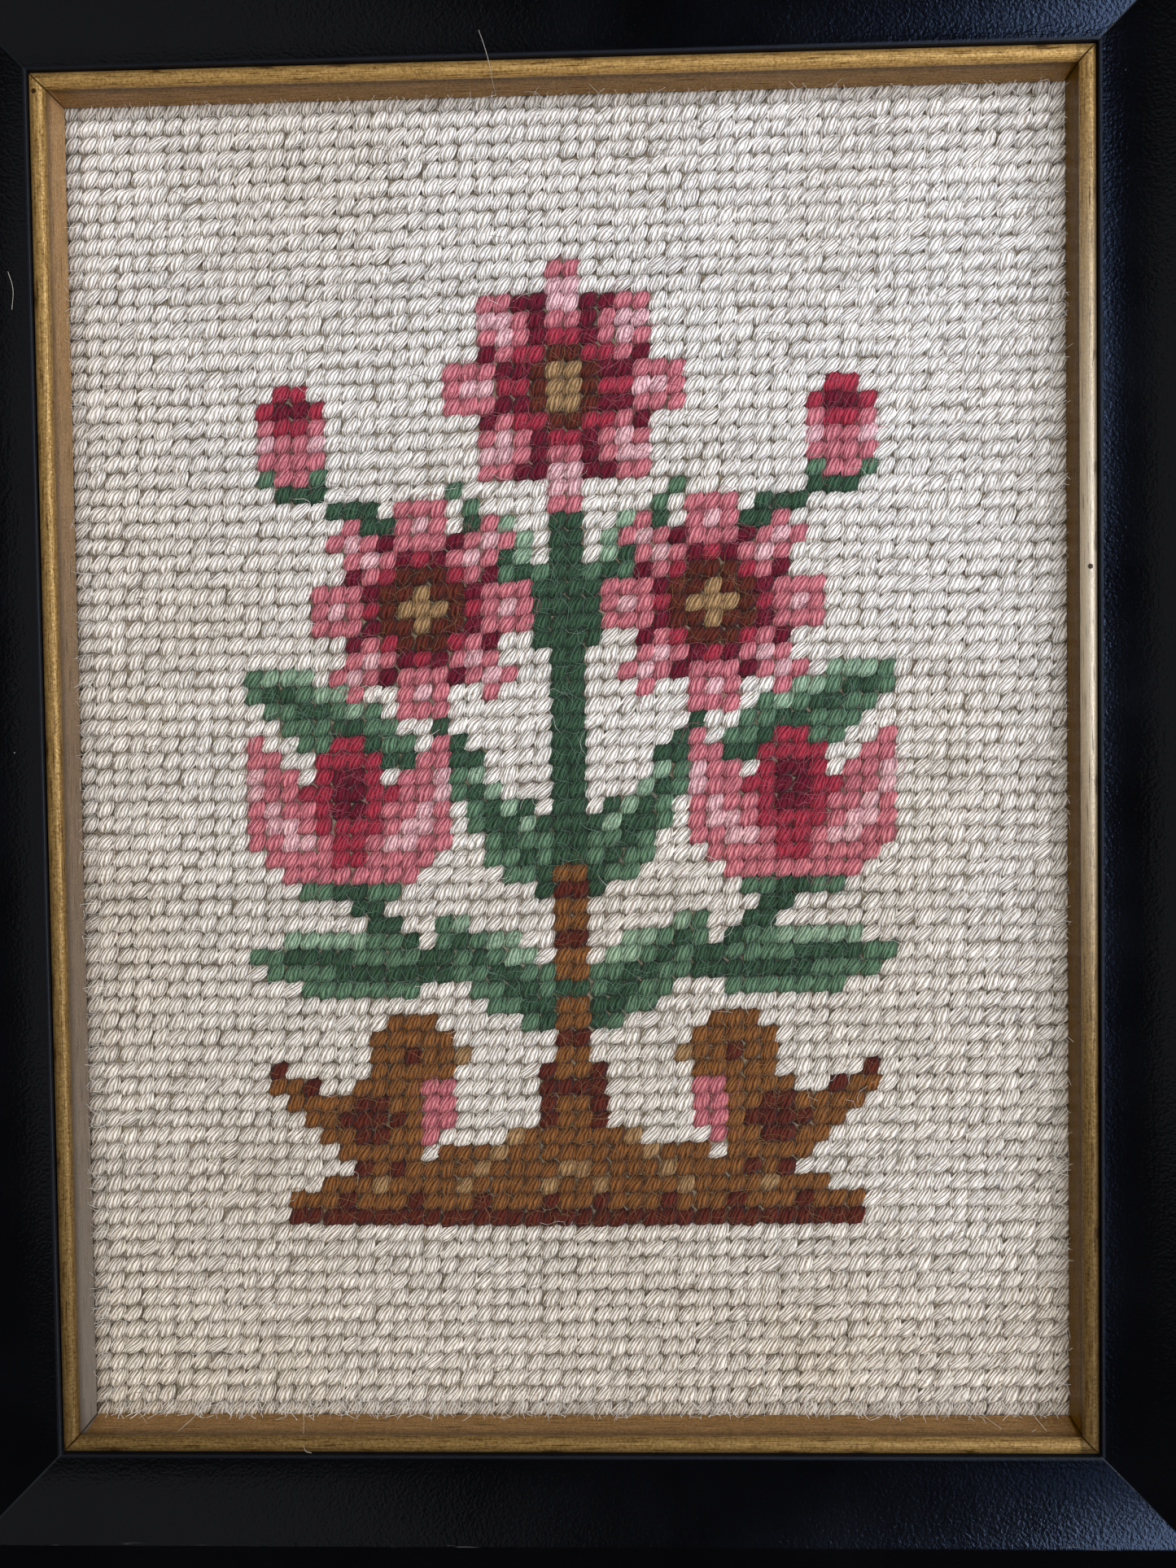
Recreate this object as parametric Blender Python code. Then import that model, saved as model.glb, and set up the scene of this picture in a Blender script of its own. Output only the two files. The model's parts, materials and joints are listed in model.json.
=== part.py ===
"""Framed needlepoint, lying on its back.

A black wood moulding and a gilt inner slip, both in four mitred lengths, hold a flat
piece of stitched canvas that is stretched over a plain board.

Metres, +Z up out of the face, +Y towards the top of the picture. The origin is at the
middle of the back, on the surface that the frame lies on. A section's points are pairs
of (outward distance from the edge of the opening, height above the back).
"""
import math

import bmesh
import bpy
from mathutils import Vector

MM = 0.001
PART_NAME = "framed_needlepoint"
CLEARANCE = 0.3 * MM
WELD = 0.001 * MM

# Opening: the needlework that shows inside the slip
OPENING_WIDTH = 146.2 * MM
OPENING_HEIGHT = 195.5 * MM

# Needlework: canvas and wool, cut to a standard 6 x 8 inch panel
INCH = 25.4 * MM
PANEL_WIDTH = 6 * INCH
PANEL_HEIGHT = 8 * INCH
CLOTH_THICKNESS = 2.6 * MM
ROW_PITCH = 2.468 * MM
ROW_RELIEF = 0.5 * MM
POINTS_PER_ROW = 4
CLOTH_COLUMNS = 6
SWELL = 0.12 * MM
SWELL_ACROSS = 96 * MM
SWELL_ALONG = 71 * MM
ROW_WANDER = 0.35 * MM
WANDER_ACROSS = 118 * MM
WANDER_ALONG = 153 * MM

# Backing board
BOARD_THICKNESS = 3.0 * MM
BOARD_RECESS = 2.5 * MM

# Heights of the stack behind the slip
BOARD_TOP = BOARD_RECESS + BOARD_THICKNESS
CLOTH_BASE = BOARD_TOP + CLEARANCE
SLIP_BASE = CLOTH_BASE + CLOTH_THICKNESS + CLEARANCE

# Slip: a rounded bead on a steep wall, with a flange under the moulding
LIP_HEIGHT = 17.0 * MM
WALL_SLOPE = 0.4 * MM
BEAD_WIDTH = 2.8 * MM
BEAD_RISE = 1.2 * MM
BEAD_END_DEG = 208
QUIRK_DEPTH = 0.3 * MM
QUIRK_DROP = 0.75 * MM
FLANGE_WIDTH = 3.8 * MM
FLANGE_THICKNESS = 2.3 * MM

# Moulding: a hollow face rises outwards from a small arris to the rim, and a land falls to the edge
RAIL_INNER = BEAD_WIDTH + CLEARANCE
RAIL_OUTER = 21.0 * MM
RABBET_WALL = FLANGE_WIDTH + CLEARANCE
RABBET_LEDGE = SLIP_BASE + FLANGE_THICKNESS + CLEARANCE
ARRIS_RADIUS = 0.5 * MM
FACE_FOOT = 17.15 * MM
HOLLOW_RADIUS = 30 * MM
HOLLOW_LOWEST_OUT = 2.3 * MM
RIM_OUT = 15.0 * MM
RIM_RADIUS = 0.7 * MM
LAND_FALL_DEG = 16
EDGE_RADIUS = 0.9 * MM
ARRIS_STEPS = 3
HOLLOW_STEPS = 10
RIM_STEPS = 4
EDGE_STEPS = 6
BEAD_STEPS = 10
OVERRUN = 5 * MM

# The four sides: name, direction outwards, half the run of the opening along that side,
# and distance from the middle of the picture to that side's edge
SIDES = (
    ("right", 0, OPENING_HEIGHT / 2, OPENING_WIDTH / 2),
    ("top", 90, OPENING_WIDTH / 2, OPENING_HEIGHT / 2),
    ("left", 180, OPENING_HEIGHT / 2, OPENING_WIDTH / 2),
    ("bottom", 270, OPENING_WIDTH / 2, OPENING_HEIGHT / 2),
)

# Finishes: colour, roughness, metallic
FINISHES = {
    "black_lacquered_wood": ((0.010, 0.012, 0.018, 1.0), 0.38, 0.0),
    "gilt_wood": ((0.42, 0.27, 0.12, 1.0), 0.36, 0.8),
    "wool_on_canvas": ((0.66, 0.61, 0.52, 1.0), 0.95, 0.0),
    "grey_board": ((0.34, 0.31, 0.27, 1.0), 0.90, 0.0),
}


def clear_scene():
    """Remove every object that the file opens with."""
    for obj in list(bpy.data.objects):
        bpy.data.objects.remove(obj, do_unlink=True)


def make_collection(name):
    """Return a new collection linked to the scene."""
    collection = bpy.data.collections.new(name)
    bpy.context.scene.collection.children.link(collection)
    return collection


def make_finish(name):
    """Return a Principled material for a named finish."""
    colour, roughness, metallic = FINISHES[name]
    material = bpy.data.materials.new(name)
    material.use_nodes = True
    shader = material.node_tree.nodes["Principled BSDF"]
    shader.inputs["Base Color"].default_value = colour
    shader.inputs["Roughness"].default_value = roughness
    shader.inputs["Metallic"].default_value = metallic
    material.diffuse_color = colour
    return material


def arc(centre, radii, start_deg, end_deg, steps):
    """Return points along an ellipse's arc, both ends included."""
    points = []
    for step in range(steps + 1):
        angle = math.radians(start_deg + (end_deg - start_deg) * step / steps)
        points.append((centre[0] + radii[0] * math.cos(angle), centre[1] + radii[1] * math.sin(angle)))
    return points


def slip_section():
    """Return the slip's outline: wall, flange, rounded bead, and the quirk under the bead."""
    flange_top = SLIP_BASE + FLANGE_THICKNESS
    bead_middle = (WALL_SLOPE + BEAD_WIDTH) / 2
    bead_half = (BEAD_WIDTH - WALL_SLOPE) / 2
    outline = [
        (0, SLIP_BASE),
        (FLANGE_WIDTH, SLIP_BASE),
        (FLANGE_WIDTH, flange_top),
        (BEAD_WIDTH, flange_top),
    ]
    bead_centre = (bead_middle, LIP_HEIGHT - BEAD_RISE)
    outline += arc(bead_centre, (bead_half, BEAD_RISE), 0, BEAD_END_DEG, BEAD_STEPS)
    outline.append((WALL_SLOPE + QUIRK_DEPTH, LIP_HEIGHT - BEAD_RISE - QUIRK_DROP))
    return outline


def rail_section():
    """Return the moulding's outline: rabbet, outer wall, edge, land, rim, hollow face and arris."""
    foot_out = RAIL_INNER + ARRIS_RADIUS
    foot_turn = math.asin((foot_out - HOLLOW_LOWEST_OUT) / HOLLOW_RADIUS)
    rim_turn = math.asin((RIM_OUT - HOLLOW_LOWEST_OUT) / HOLLOW_RADIUS)
    hollow_centre = (HOLLOW_LOWEST_OUT, FACE_FOOT + HOLLOW_RADIUS * math.cos(foot_turn))
    rim_centre = (
        RIM_OUT + RIM_RADIUS * math.sin(rim_turn),
        hollow_centre[1] - (HOLLOW_RADIUS + RIM_RADIUS) * math.cos(rim_turn),
    )
    land_deg = 90 - LAND_FALL_DEG
    land_normal = (math.cos(math.radians(land_deg)), math.sin(math.radians(land_deg)))
    land_reach = rim_centre[0] * land_normal[0] + rim_centre[1] * land_normal[1] + RIM_RADIUS
    edge_out = RAIL_OUTER - EDGE_RADIUS
    edge_height = (land_reach - EDGE_RADIUS - edge_out * land_normal[0]) / land_normal[1]
    rim_end_deg = 90 + math.degrees(rim_turn)
    hollow_degs = (math.degrees(rim_turn) - 90, math.degrees(foot_turn) - 90)
    outline = [
        (RABBET_WALL, 0),
        (RAIL_OUTER, 0),
    ]
    outline += arc((edge_out, edge_height), (EDGE_RADIUS, EDGE_RADIUS), 0, land_deg, EDGE_STEPS)
    outline += arc(rim_centre, (RIM_RADIUS, RIM_RADIUS), land_deg, rim_end_deg, RIM_STEPS)
    outline += arc(hollow_centre, (HOLLOW_RADIUS, HOLLOW_RADIUS), *hollow_degs, HOLLOW_STEPS)[1:]
    outline += arc((foot_out, FACE_FOOT - ARRIS_RADIUS), (ARRIS_RADIUS, ARRIS_RADIUS), 90, 180, ARRIS_STEPS)[1:]
    outline += [
        (RAIL_INNER, RABBET_LEDGE),
        (RABBET_WALL, RABBET_LEDGE),
    ]
    return outline


def cloth_section():
    """Return the cloth's outline along the picture's height, with a soft ridge for each stitch row."""
    half = PANEL_HEIGHT / 2
    steps = round(PANEL_HEIGHT / ROW_PITCH * POINTS_PER_ROW)
    outline = [
        (half, CLOTH_BASE),
        (-half, CLOTH_BASE),
    ]
    for step in range(steps + 1):
        along = -half + PANEL_HEIGHT * step / steps
        ridge = 0.5 - 0.5 * math.cos(2 * math.pi * step / POINTS_PER_ROW)
        height = CLOTH_BASE + CLOTH_THICKNESS - SWELL - ROW_RELIEF * (1 - ridge)
        outline.append((along, height))
    return outline


def extruded_mesh(name, outline, half_length):
    """Return a closed mesh: the outline, filled, and drawn out both ways along local Z."""
    curve = bpy.data.curves.new(name, "CURVE")
    curve.dimensions = "2D"
    curve.fill_mode = "BOTH"
    curve.extrude = half_length
    spline = curve.splines.new("POLY")
    spline.points.add(len(outline) - 1)
    for point, (across, up) in zip(spline.points, outline):
        point.co = (across, up, 0, 1)
    spline.use_cyclic_u = True
    guide = bpy.data.objects.new(name, curve)
    bpy.context.scene.collection.objects.link(guide)
    evaluated = guide.evaluated_get(bpy.context.evaluated_depsgraph_get())
    mesh = bpy.data.meshes.new_from_object(evaluated)
    bpy.data.objects.remove(guide, do_unlink=True)
    bpy.data.curves.remove(curve)
    mesh.name = name
    return mesh


def cut_mitres(mesh, half_run):
    """Weld a prism and cut both its ends at 45 degrees, half a clearance short of the mitre line."""
    short = CLEARANCE / 2 * math.sqrt(2)
    shape = bmesh.new()
    shape.from_mesh(mesh)
    bmesh.ops.remove_doubles(shape, verts=shape.verts, dist=WELD)
    for end in (-1, 1):
        cut = bmesh.ops.bisect_plane(
            shape,
            geom=shape.verts[:] + shape.edges[:] + shape.faces[:],
            plane_co=(0, 0, end * (half_run - short)),
            plane_no=Vector((-1, 0, end)).normalized(),
            clear_outer=True,
        )
        rim = [item for item in cut["geom_cut"] if isinstance(item, bmesh.types.BMEdge)]
        bmesh.ops.edgeloop_fill(shape, edges=rim)
    bmesh.ops.recalc_face_normals(shape, faces=shape.faces)
    shape.to_mesh(mesh)
    shape.free()


def add_piece(name, mesh, material, collection, parent):
    """Return a new object with smooth round faces and sharp edges, under the part's empty."""
    mesh.materials.clear()
    mesh.materials.append(material)
    mesh.shade_smooth()
    mesh.set_sharp_from_angle(angle=math.radians(35))
    piece = bpy.data.objects.new(name, mesh)
    collection.objects.link(piece)
    piece.parent = parent
    return piece


def add_strips(prefix, outline, reach, material, collection, parent):
    """Add four mitred lengths of one section round the opening."""
    for side, outward_deg, half_run, edge in SIDES:
        name = f"{prefix}_{side}"
        mesh = extruded_mesh(name, outline, half_run + reach + OVERRUN)
        cut_mitres(mesh, half_run)
        piece = add_piece(name, mesh, material, collection, parent)
        outward = math.radians(outward_deg)
        piece.rotation_euler = (math.radians(90), 0, outward)
        piece.location = (edge * math.cos(outward), edge * math.sin(outward), 0)


def unevenness(across, along):
    """Return how far the rows wander and the face swells at a point of the cloth."""
    wander = ROW_WANDER * math.sin(2 * math.pi * across / WANDER_ACROSS + math.pi * along / WANDER_ALONG)
    fade = math.cos(math.pi * along / PANEL_HEIGHT)
    turn = 2 * math.pi * across / SWELL_ACROSS
    swell = SWELL * math.cos(turn + 2 * math.pi * along / SWELL_ALONG)
    return wander * fade, swell


def add_needlework(material, collection, parent):
    """Add the stitched cloth: a flat sheet whose face has a soft, slightly wandering ridge a row."""
    half = PANEL_WIDTH / 2
    mesh = extruded_mesh("needlework", cloth_section(), half)
    shape = bmesh.new()
    shape.from_mesh(mesh)
    bmesh.ops.remove_doubles(shape, verts=shape.verts, dist=WELD)
    for column in range(1, CLOTH_COLUMNS):
        bmesh.ops.bisect_plane(
            shape,
            geom=shape.verts[:] + shape.edges[:] + shape.faces[:],
            plane_co=(0, 0, PANEL_WIDTH * column / CLOTH_COLUMNS - half),
            plane_no=(0, 0, 1),
        )
    for vert in shape.verts:
        if vert.co.y > CLOTH_BASE + WELD:
            wander, swell = unevenness(vert.co.z, vert.co.x)
            vert.co.x += wander
            vert.co.y += swell
    bmesh.ops.recalc_face_normals(shape, faces=shape.faces)
    shape.to_mesh(mesh)
    shape.free()
    piece = add_piece("needlework", mesh, material, collection, parent)
    piece.rotation_euler = (math.radians(90), 0, math.radians(90))


def add_backing_board(material, collection, parent):
    """Add the plain board behind the cloth."""
    bpy.ops.mesh.primitive_cube_add(size=1)
    board = bpy.context.object
    mesh = board.data
    bpy.data.objects.remove(board, do_unlink=True)
    mesh.name = "backing_board"
    for vert in mesh.vertices:
        vert.co = Vector((vert.co.x * PANEL_WIDTH, vert.co.y * PANEL_HEIGHT, vert.co.z * BOARD_THICKNESS))
    piece = add_piece("backing_board", mesh, material, collection, parent)
    piece.location = (0, 0, BOARD_RECESS + BOARD_THICKNESS / 2)


def main():
    """Build the whole part."""
    clear_scene()
    collection = make_collection(PART_NAME)
    middle = bpy.data.objects.new(f"{PART_NAME}_middle", None)
    collection.objects.link(middle)
    add_strips("rail", rail_section(), RAIL_OUTER, make_finish("black_lacquered_wood"), collection, middle)
    add_strips("slip", slip_section(), FLANGE_WIDTH, make_finish("gilt_wood"), collection, middle)
    add_needlework(make_finish("wool_on_canvas"), collection, middle)
    add_backing_board(make_finish("grey_board"), collection, middle)


main()
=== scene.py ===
"""Looks of a framed needlepoint that lies on its back.

Wool tent stitch on canvas sits behind a gilt slip in a black lacquered moulding. Metres,
+Z up out of the face, +Y towards the top of the picture.
"""
import json
import logging
import math
import random
from dataclasses import dataclass, field, replace
from enum import Enum
from functools import partial

import bpy
from bpy.types import Collection, Material, Mesh, Node, NodeSocket, NodeTree, Object
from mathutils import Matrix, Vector

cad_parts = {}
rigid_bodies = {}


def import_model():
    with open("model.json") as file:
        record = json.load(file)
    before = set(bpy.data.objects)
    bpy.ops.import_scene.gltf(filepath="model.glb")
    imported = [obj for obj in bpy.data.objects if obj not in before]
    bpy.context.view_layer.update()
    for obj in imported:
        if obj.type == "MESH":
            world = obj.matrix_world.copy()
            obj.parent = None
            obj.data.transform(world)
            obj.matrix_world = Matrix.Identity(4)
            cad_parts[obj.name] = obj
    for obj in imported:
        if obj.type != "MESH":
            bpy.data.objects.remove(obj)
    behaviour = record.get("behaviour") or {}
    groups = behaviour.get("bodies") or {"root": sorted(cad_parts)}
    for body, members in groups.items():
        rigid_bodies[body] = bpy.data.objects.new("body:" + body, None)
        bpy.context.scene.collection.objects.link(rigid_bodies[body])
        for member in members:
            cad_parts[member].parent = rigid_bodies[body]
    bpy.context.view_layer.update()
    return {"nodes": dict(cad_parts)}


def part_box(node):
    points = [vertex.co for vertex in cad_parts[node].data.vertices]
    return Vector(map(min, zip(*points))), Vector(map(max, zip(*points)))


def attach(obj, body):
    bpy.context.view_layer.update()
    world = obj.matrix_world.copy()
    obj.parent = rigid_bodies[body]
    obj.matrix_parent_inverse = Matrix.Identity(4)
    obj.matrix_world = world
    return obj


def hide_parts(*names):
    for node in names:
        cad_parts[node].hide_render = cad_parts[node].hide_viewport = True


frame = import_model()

LOG = logging.getLogger("needlepoint")
MM = 0.001
BODY = "root"
UV_NAME = "UVMap"
CLOTH_SLOT = "wool_on_canvas"

Pair = tuple[float, float]
Triple = tuple[float, float, float]


class Named(Enum):
    """Options whose names also go into pieces and materials."""

    @property
    def word(self) -> str:
        """Return the option's name in small letters."""
        return self.name.lower()


class Side(Named):
    """The four sides of the frame, by the direction that faces outwards, in degrees."""

    RIGHT = 0
    TOP = 90
    LEFT = 180
    BOTTOM = 270


class Halo(Named):
    """The loose hairs of each family of wools, by their colour."""

    GROUND = "#efe9de"
    STRAW = "#7d6a50"
    PINKS = "#b3656f"
    GREENS = "#718b78"
    BROWNS = "#8f6c47"


class Yarn(Named):
    """The wools: each one's colour in the grooves, darkened as painted shade, and on the crests, and its
    family of hairs.
    """

    GROUND = ("#7c6b4e", "#fdfbf8", Halo.GROUND)
    WINE = ("#22050c", "#741f31", Halo.PINKS)
    ROSE = ("#4a0a16", "#b23b4d", Halo.PINKS)
    PINK = ("#742935", "#db8790", Halo.PINKS)
    BLUSH = ("#95616a", "#f0c6ca", Halo.PINKS)
    FOREST = ("#0c1a11", "#3f5c45", Halo.GREENS)
    SAGE = ("#1b2e20", "#698b6f", Halo.GREENS)
    MIST = ("#415b47", "#a4c0a5", Halo.GREENS)
    BROWN = ("#2f1808", "#926136", Halo.BROWNS)
    UMBER = ("#1d0906", "#662f24", Halo.BROWNS)
    TAN = ("#523b22", "#b39168", Halo.BROWNS)


def linear(hex_colour: str) -> tuple[float, float, float, float]:
    """Turn an sRGB hex colour into linear red, green, blue and an alpha of 1."""
    parts = [int(hex_colour[start:start + 2], 16) / 255 for start in (1, 3, 5)]
    light = [part / 12.92 if part <= 0.04045 else ((part + 0.055) / 1.055) ** 2.4 for part in parts]
    return (light[0], light[1], light[2], 1.0)


def metres(millimetres: Pair) -> Pair:
    """Turn two lengths in millimetres into metres."""
    return millimetres[0] * MM, millimetres[1] * MM


@dataclass(frozen=True)
class Wire:
    """A node's output. Sums and comparisons with it add the math nodes that work them out."""

    tree: NodeTree
    socket: NodeSocket

    def of(self, name: str) -> "Wire":
        """Return another output of the same node."""
        return Wire(self.tree, self.socket.node.outputs[name])

    def maths(self, operation: str, *others: "Wire | float") -> "Wire":
        """Return what a math node makes of this value and others, in that order."""
        numbers = dict(zip(("Value", "Value_001", "Value_002"), (self, *others)))
        return add_node(self.tree, "ShaderNodeMath", numbers, operation=operation)

    def __add__(self, other: "Wire | float") -> "Wire":
        """Return the sum."""
        return self.maths("ADD", other)

    def __sub__(self, other: "Wire | float") -> "Wire":
        """Return the difference."""
        return self.maths("SUBTRACT", other)

    def __rsub__(self, other: float) -> "Wire":
        """Return a number less this value."""
        return self.maths("MULTIPLY_ADD", -1.0, other)

    def __mul__(self, other: "Wire | float") -> "Wire":
        """Return the product."""
        return self.maths("MULTIPLY", other)

    def __truediv__(self, other: "Wire | float") -> "Wire":
        """Return the quotient."""
        return self.maths("DIVIDE", other)

    def __abs__(self) -> "Wire":
        """Return the value without its sign."""
        return self.maths("ABSOLUTE")

    def __lt__(self, other: "Wire | float") -> "Wire":
        """Return 1 where this value is the smaller, or else 0."""
        return self.maths("LESS_THAN", other)

    def __gt__(self, other: "Wire | float") -> "Wire":
        """Return 1 where this value is the larger, or else 0."""
        return self.maths("GREATER_THAN", other)

    def ramp(
        self, start: float, end: float, low: float = 0, high: float = 1, ease: str = "LINEAR",
    ) -> "Wire":
        """Return a value that goes from low to high while this one goes from start to end."""
        limits = {"Value": self, "From Min": start, "From Max": end, "To Min": low, "To Max": high}
        return add_node(self.tree, "ShaderNodeMapRange", limits, interpolation_type=ease)

    def axes(self) -> tuple["Wire", "Wire", "Wire"]:
        """Return a vector's X, Y and Z."""
        parts = add_node(self.tree, "ShaderNodeSeparateXYZ", {"Vector": self})
        return parts.of("X"), parts.of("Y"), parts.of("Z")


def fill_inputs(node: Node, inputs: dict) -> None:
    """Link or set a node's inputs: each socket's name or identifier leads to a wire or a value."""
    for key, value in inputs.items():
        named = [socket for socket in node.inputs if key in (socket.identifier, socket.name)]
        target = next((socket for socket in named if socket.enabled), named[0])
        if isinstance(value, Wire):
            value.tree.links.new(value.socket, target)
        else:
            target.default_value = value


def add_node(tree: NodeTree, kind: str, inputs: dict | None = None, **settings) -> Wire:
    """Add a node, set its properties, and fill or link its inputs.

    Args:
        tree: the node tree that gets the node.
        kind: the node's type name.
        inputs: socket name or identifier to a value or a wire.
        settings: properties of the node itself.

    Returns:
        The node's first output in use.
    """
    made = tree.nodes.new(kind)
    for key, value in settings.items():
        setattr(made, key, value)
    fill_inputs(made, inputs or {})
    return Wire(tree, next(socket for socket in made.outputs if socket.enabled))


@dataclass(frozen=True)
class Surface:
    """A material while it is made, with short words for the nodes that the finishes share."""

    material: Material

    @classmethod
    def named(cls, name: str) -> "Surface":
        """Start a new material."""
        material = bpy.data.materials.new(name)
        material.use_nodes = True
        return cls(material)

    def add(self, kind: str, inputs: dict | None = None, **settings) -> Wire:
        """Add a node to the material."""
        return add_node(self.material.node_tree, kind, inputs, **settings)

    def attribute(self, name: str) -> Wire:
        """Return an attribute that the mesh carries."""
        return self.add("ShaderNodeAttribute", attribute_name=name).of("Fac")

    def place(self) -> Wire:
        """Return where a point lies on the part."""
        return self.add("ShaderNodeTexCoord").of("Object")

    def noise(self, place: Wire, cell: float, detail: float, rough: float = 0.5, bent: float = 0) -> Wire:
        """Return noise whose cells have a size, in the units of the place."""
        looks = {
            "Vector": place, "Scale": 1 / cell, "Detail": detail, "Roughness": rough, "Distortion": bent,
        }
        return self.add("ShaderNodeTexNoise", looks)

    def streaks(
        self, first: Wire, first_mm: float, second: Wire, second_mm: float, detail: float, bent: float = 0,
    ) -> Wire:
        """Return noise with a cell size of its own along each of two directions."""
        place = {"X": first * (1 / (first_mm * MM)), "Y": second * (1 / (second_mm * MM))}
        return self.noise(self.add("ShaderNodeCombineXYZ", place), 1, detail, bent=bent)

    def mix(self, share: Wire, first: Wire | str, second: Wire | str, blend: str = "MIX") -> Wire:
        """Return one colour blended into another; each is a wire or sRGB hex."""
        colours = [linear(colour) if isinstance(colour, str) else colour for colour in (first, second)]
        parts = {"Factor": share, "A": colours[0], "B": colours[1]}
        return self.add("ShaderNodeMix", parts, data_type="RGBA", blend_type=blend)

    def vector(self, operation: str, first: Wire, second: Wire | Triple) -> Wire:
        """Return what a vector math node makes of two vectors."""
        return self.add("ShaderNodeVectorMath", {"Vector": first, "Vector_001": second}, operation=operation)

    def finish(
        self, inputs: dict[str, Wire | float], height: Wire | None = None, depth_mm: float = 0,
        strength: float = 1,
    ) -> Material:
        """Fill the shader's inputs and return the material.

        Args:
            inputs: a wire for each input that varies over the surface, or else a number.
            height: the relief, as a height from 0 to 1.
            depth_mm: how deep the relief is.
            strength: how much of the relief shows.

        Returns:
            The finished material.
        """
        if height:
            relief = {"Height": height, "Strength": strength, "Distance": depth_mm * MM}
            inputs = {**inputs, "Normal": self.add("ShaderNodeBump", relief)}
        fill_inputs(self.material.node_tree.nodes["Principled BSDF"], inputs)
        return self.material


@dataclass(frozen=True)
class WoolFinish:
    """Spun wool in tent stitch: matt, with hairy plies; painted shade darkens the grooves between them and
    the ends of each stitch.

    The fibres run along each stitch, so their noise is stretched along its UV map. Wool
    fibre is 0.03 mm thick, too fine to show, so the strands are drawn 0.12 mm wide.
    """

    yarn: Yarn
    half_width: float
    half_height: float
    strands_across: float = 10.0
    strands_along: float = 3.4
    layers_apart: float = 90.0
    plies: float = 5.6
    ply_twist: float = 0.7
    ply_straying: float = 2.6
    ply_shift: float = 3.0
    ply_depth: float = 0.85
    fibre_share: float = 0.9
    tones: Pair = (0.42, 1.3)
    shades: Pair = (0.86, 1.08)
    soil_mm: float = 34.0
    soil_shares: Triple = (0.2, 0.38, 0.19)
    rubbed_edge_mm: float = 1.7
    edge_share: float = 0.5
    relief_mm: float = 0.2
    yellowed: str = "#cdb994"
    grubby: str = "#a48c6a"

    def build(self) -> Material:
        """Return the wool's material."""
        surface = Surface.named(f"spun_wool_{self.yarn.word}")
        groove, crest, _ = self.yarn.value
        shade = surface.attribute("shade")
        spun = surface.add("ShaderNodeUVMap", uv_map=UV_NAME)
        stretched = surface.vector("MULTIPLY", spun, (self.strands_across, self.strands_along, 0))
        # Each stitch takes its fibres from another layer of the noise.
        layer = surface.add("ShaderNodeCombineXYZ", {"Z": shade * self.layers_apart})
        fibre = surface.noise(surface.vector("ADD", stretched, layer), 1, 3, rough=0.62, bent=0.35)
        ply = self.ply_wave(surface, spun, shade)
        # Painted shade: each stitch's painted shade attribute and the grooves between its plies darken the
        # colour, where shade falls in the grooves, on the flanks and at the ends.
        rounded = ply * self.ply_depth + (1 - self.ply_depth)
        tone = fibre * self.fibre_share + surface.attribute("depth") * rounded
        dyed_and_shaded = surface.mix(tone.ramp(*self.tones), groove, crest)
        value = {"Value": shade.ramp(0, 1, *self.shades), "Color": dyed_and_shaded}
        varied = surface.add("ShaderNodeHueSaturation", value)
        where = surface.place()
        # Yellowing, with painted shade towards the bottom left.
        yellowed_and_shaded = surface.mix(self.age(surface, where), varied, self.yellowed, "MULTIPLY")
        # Grime and painted shade darken the wool beside the slip's wall.
        colour = surface.mix(self.grub(where), yellowed_and_shaded, self.grubby, "MULTIPLY")
        inputs = {
            "Base Color": colour, "Roughness": 0.9, "Specular IOR Level": 0.1, "Sheen Weight": 0.05,
            "Sheen Roughness": 0.5,
        }
        return surface.finish(inputs, fibre * 0.7 + ply, self.relief_mm)

    def ply_wave(self, surface: Surface, spun: Wire, shade: Wire) -> Wire:
        """Return the height of the twisted plies: 0 in the grooves between them, 1 on top."""
        across, along, _ = spun.axes()
        straying = surface.noise(spun, 1 / self.ply_straying, 1)
        turns = across * self.plies + straying + along * self.ply_twist + shade * self.ply_shift
        return abs((turns * math.pi).maths("SINE"))

    def age(self, surface: Surface, where: Wire) -> Wire:
        """Return how far to tint the wool yellow: yellowing in clouds, and towards the bottom left partly
        yellowing and partly painted shade where the window's light is weaker.
        """
        across, along, _ = where.axes()
        in_clouds, below, on_left = self.soil_shares
        clouds = surface.noise(where, self.soil_mm * MM, 2).ramp(0.42, 0.75, 0, in_clouds)
        # Partly yellowing and partly painted shade: darker and warmer towards the bottom and the left, away
        # from the window.
        lower = along.ramp(0.6 * self.half_height, -0.9 * self.half_height, 0, below)
        lefter = across.ramp(0.6 * self.half_width, -self.half_width, 0, on_left)
        return clouds + (lower + lefter)

    def grub(self, where: Wire) -> Wire:
        """Return how much darker the wool is beside the slip: partly grime, partly painted shade from the
        slip's wall.
        """
        across, along, _ = where.axes()
        nearest = (self.half_width - abs(across)).maths("MINIMUM", self.half_height - abs(along))
        return nearest.ramp(0, self.rubbed_edge_mm * MM, self.edge_share, 0)


@dataclass(frozen=True)
class HairFinish:
    """Single loose wool hairs: matt, and uneven in colour along their length."""

    name: str
    colour: str
    uneven_mm: float = 2.2
    shades: Pair = (0.72, 1.05)

    def build(self) -> Material:
        """Return the hairs' material."""
        surface = Surface.named(f"wool_hair_{self.name}")
        uneven = surface.noise(surface.place(), self.uneven_mm * MM, 1).ramp(0.3, 0.7, *self.shades)
        colour = surface.add("ShaderNodeHueSaturation", {"Value": uneven, "Color": linear(self.colour)})
        return surface.finish({"Base Color": colour, "Roughness": 0.75, "Specular IOR Level": 0.3})


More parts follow.
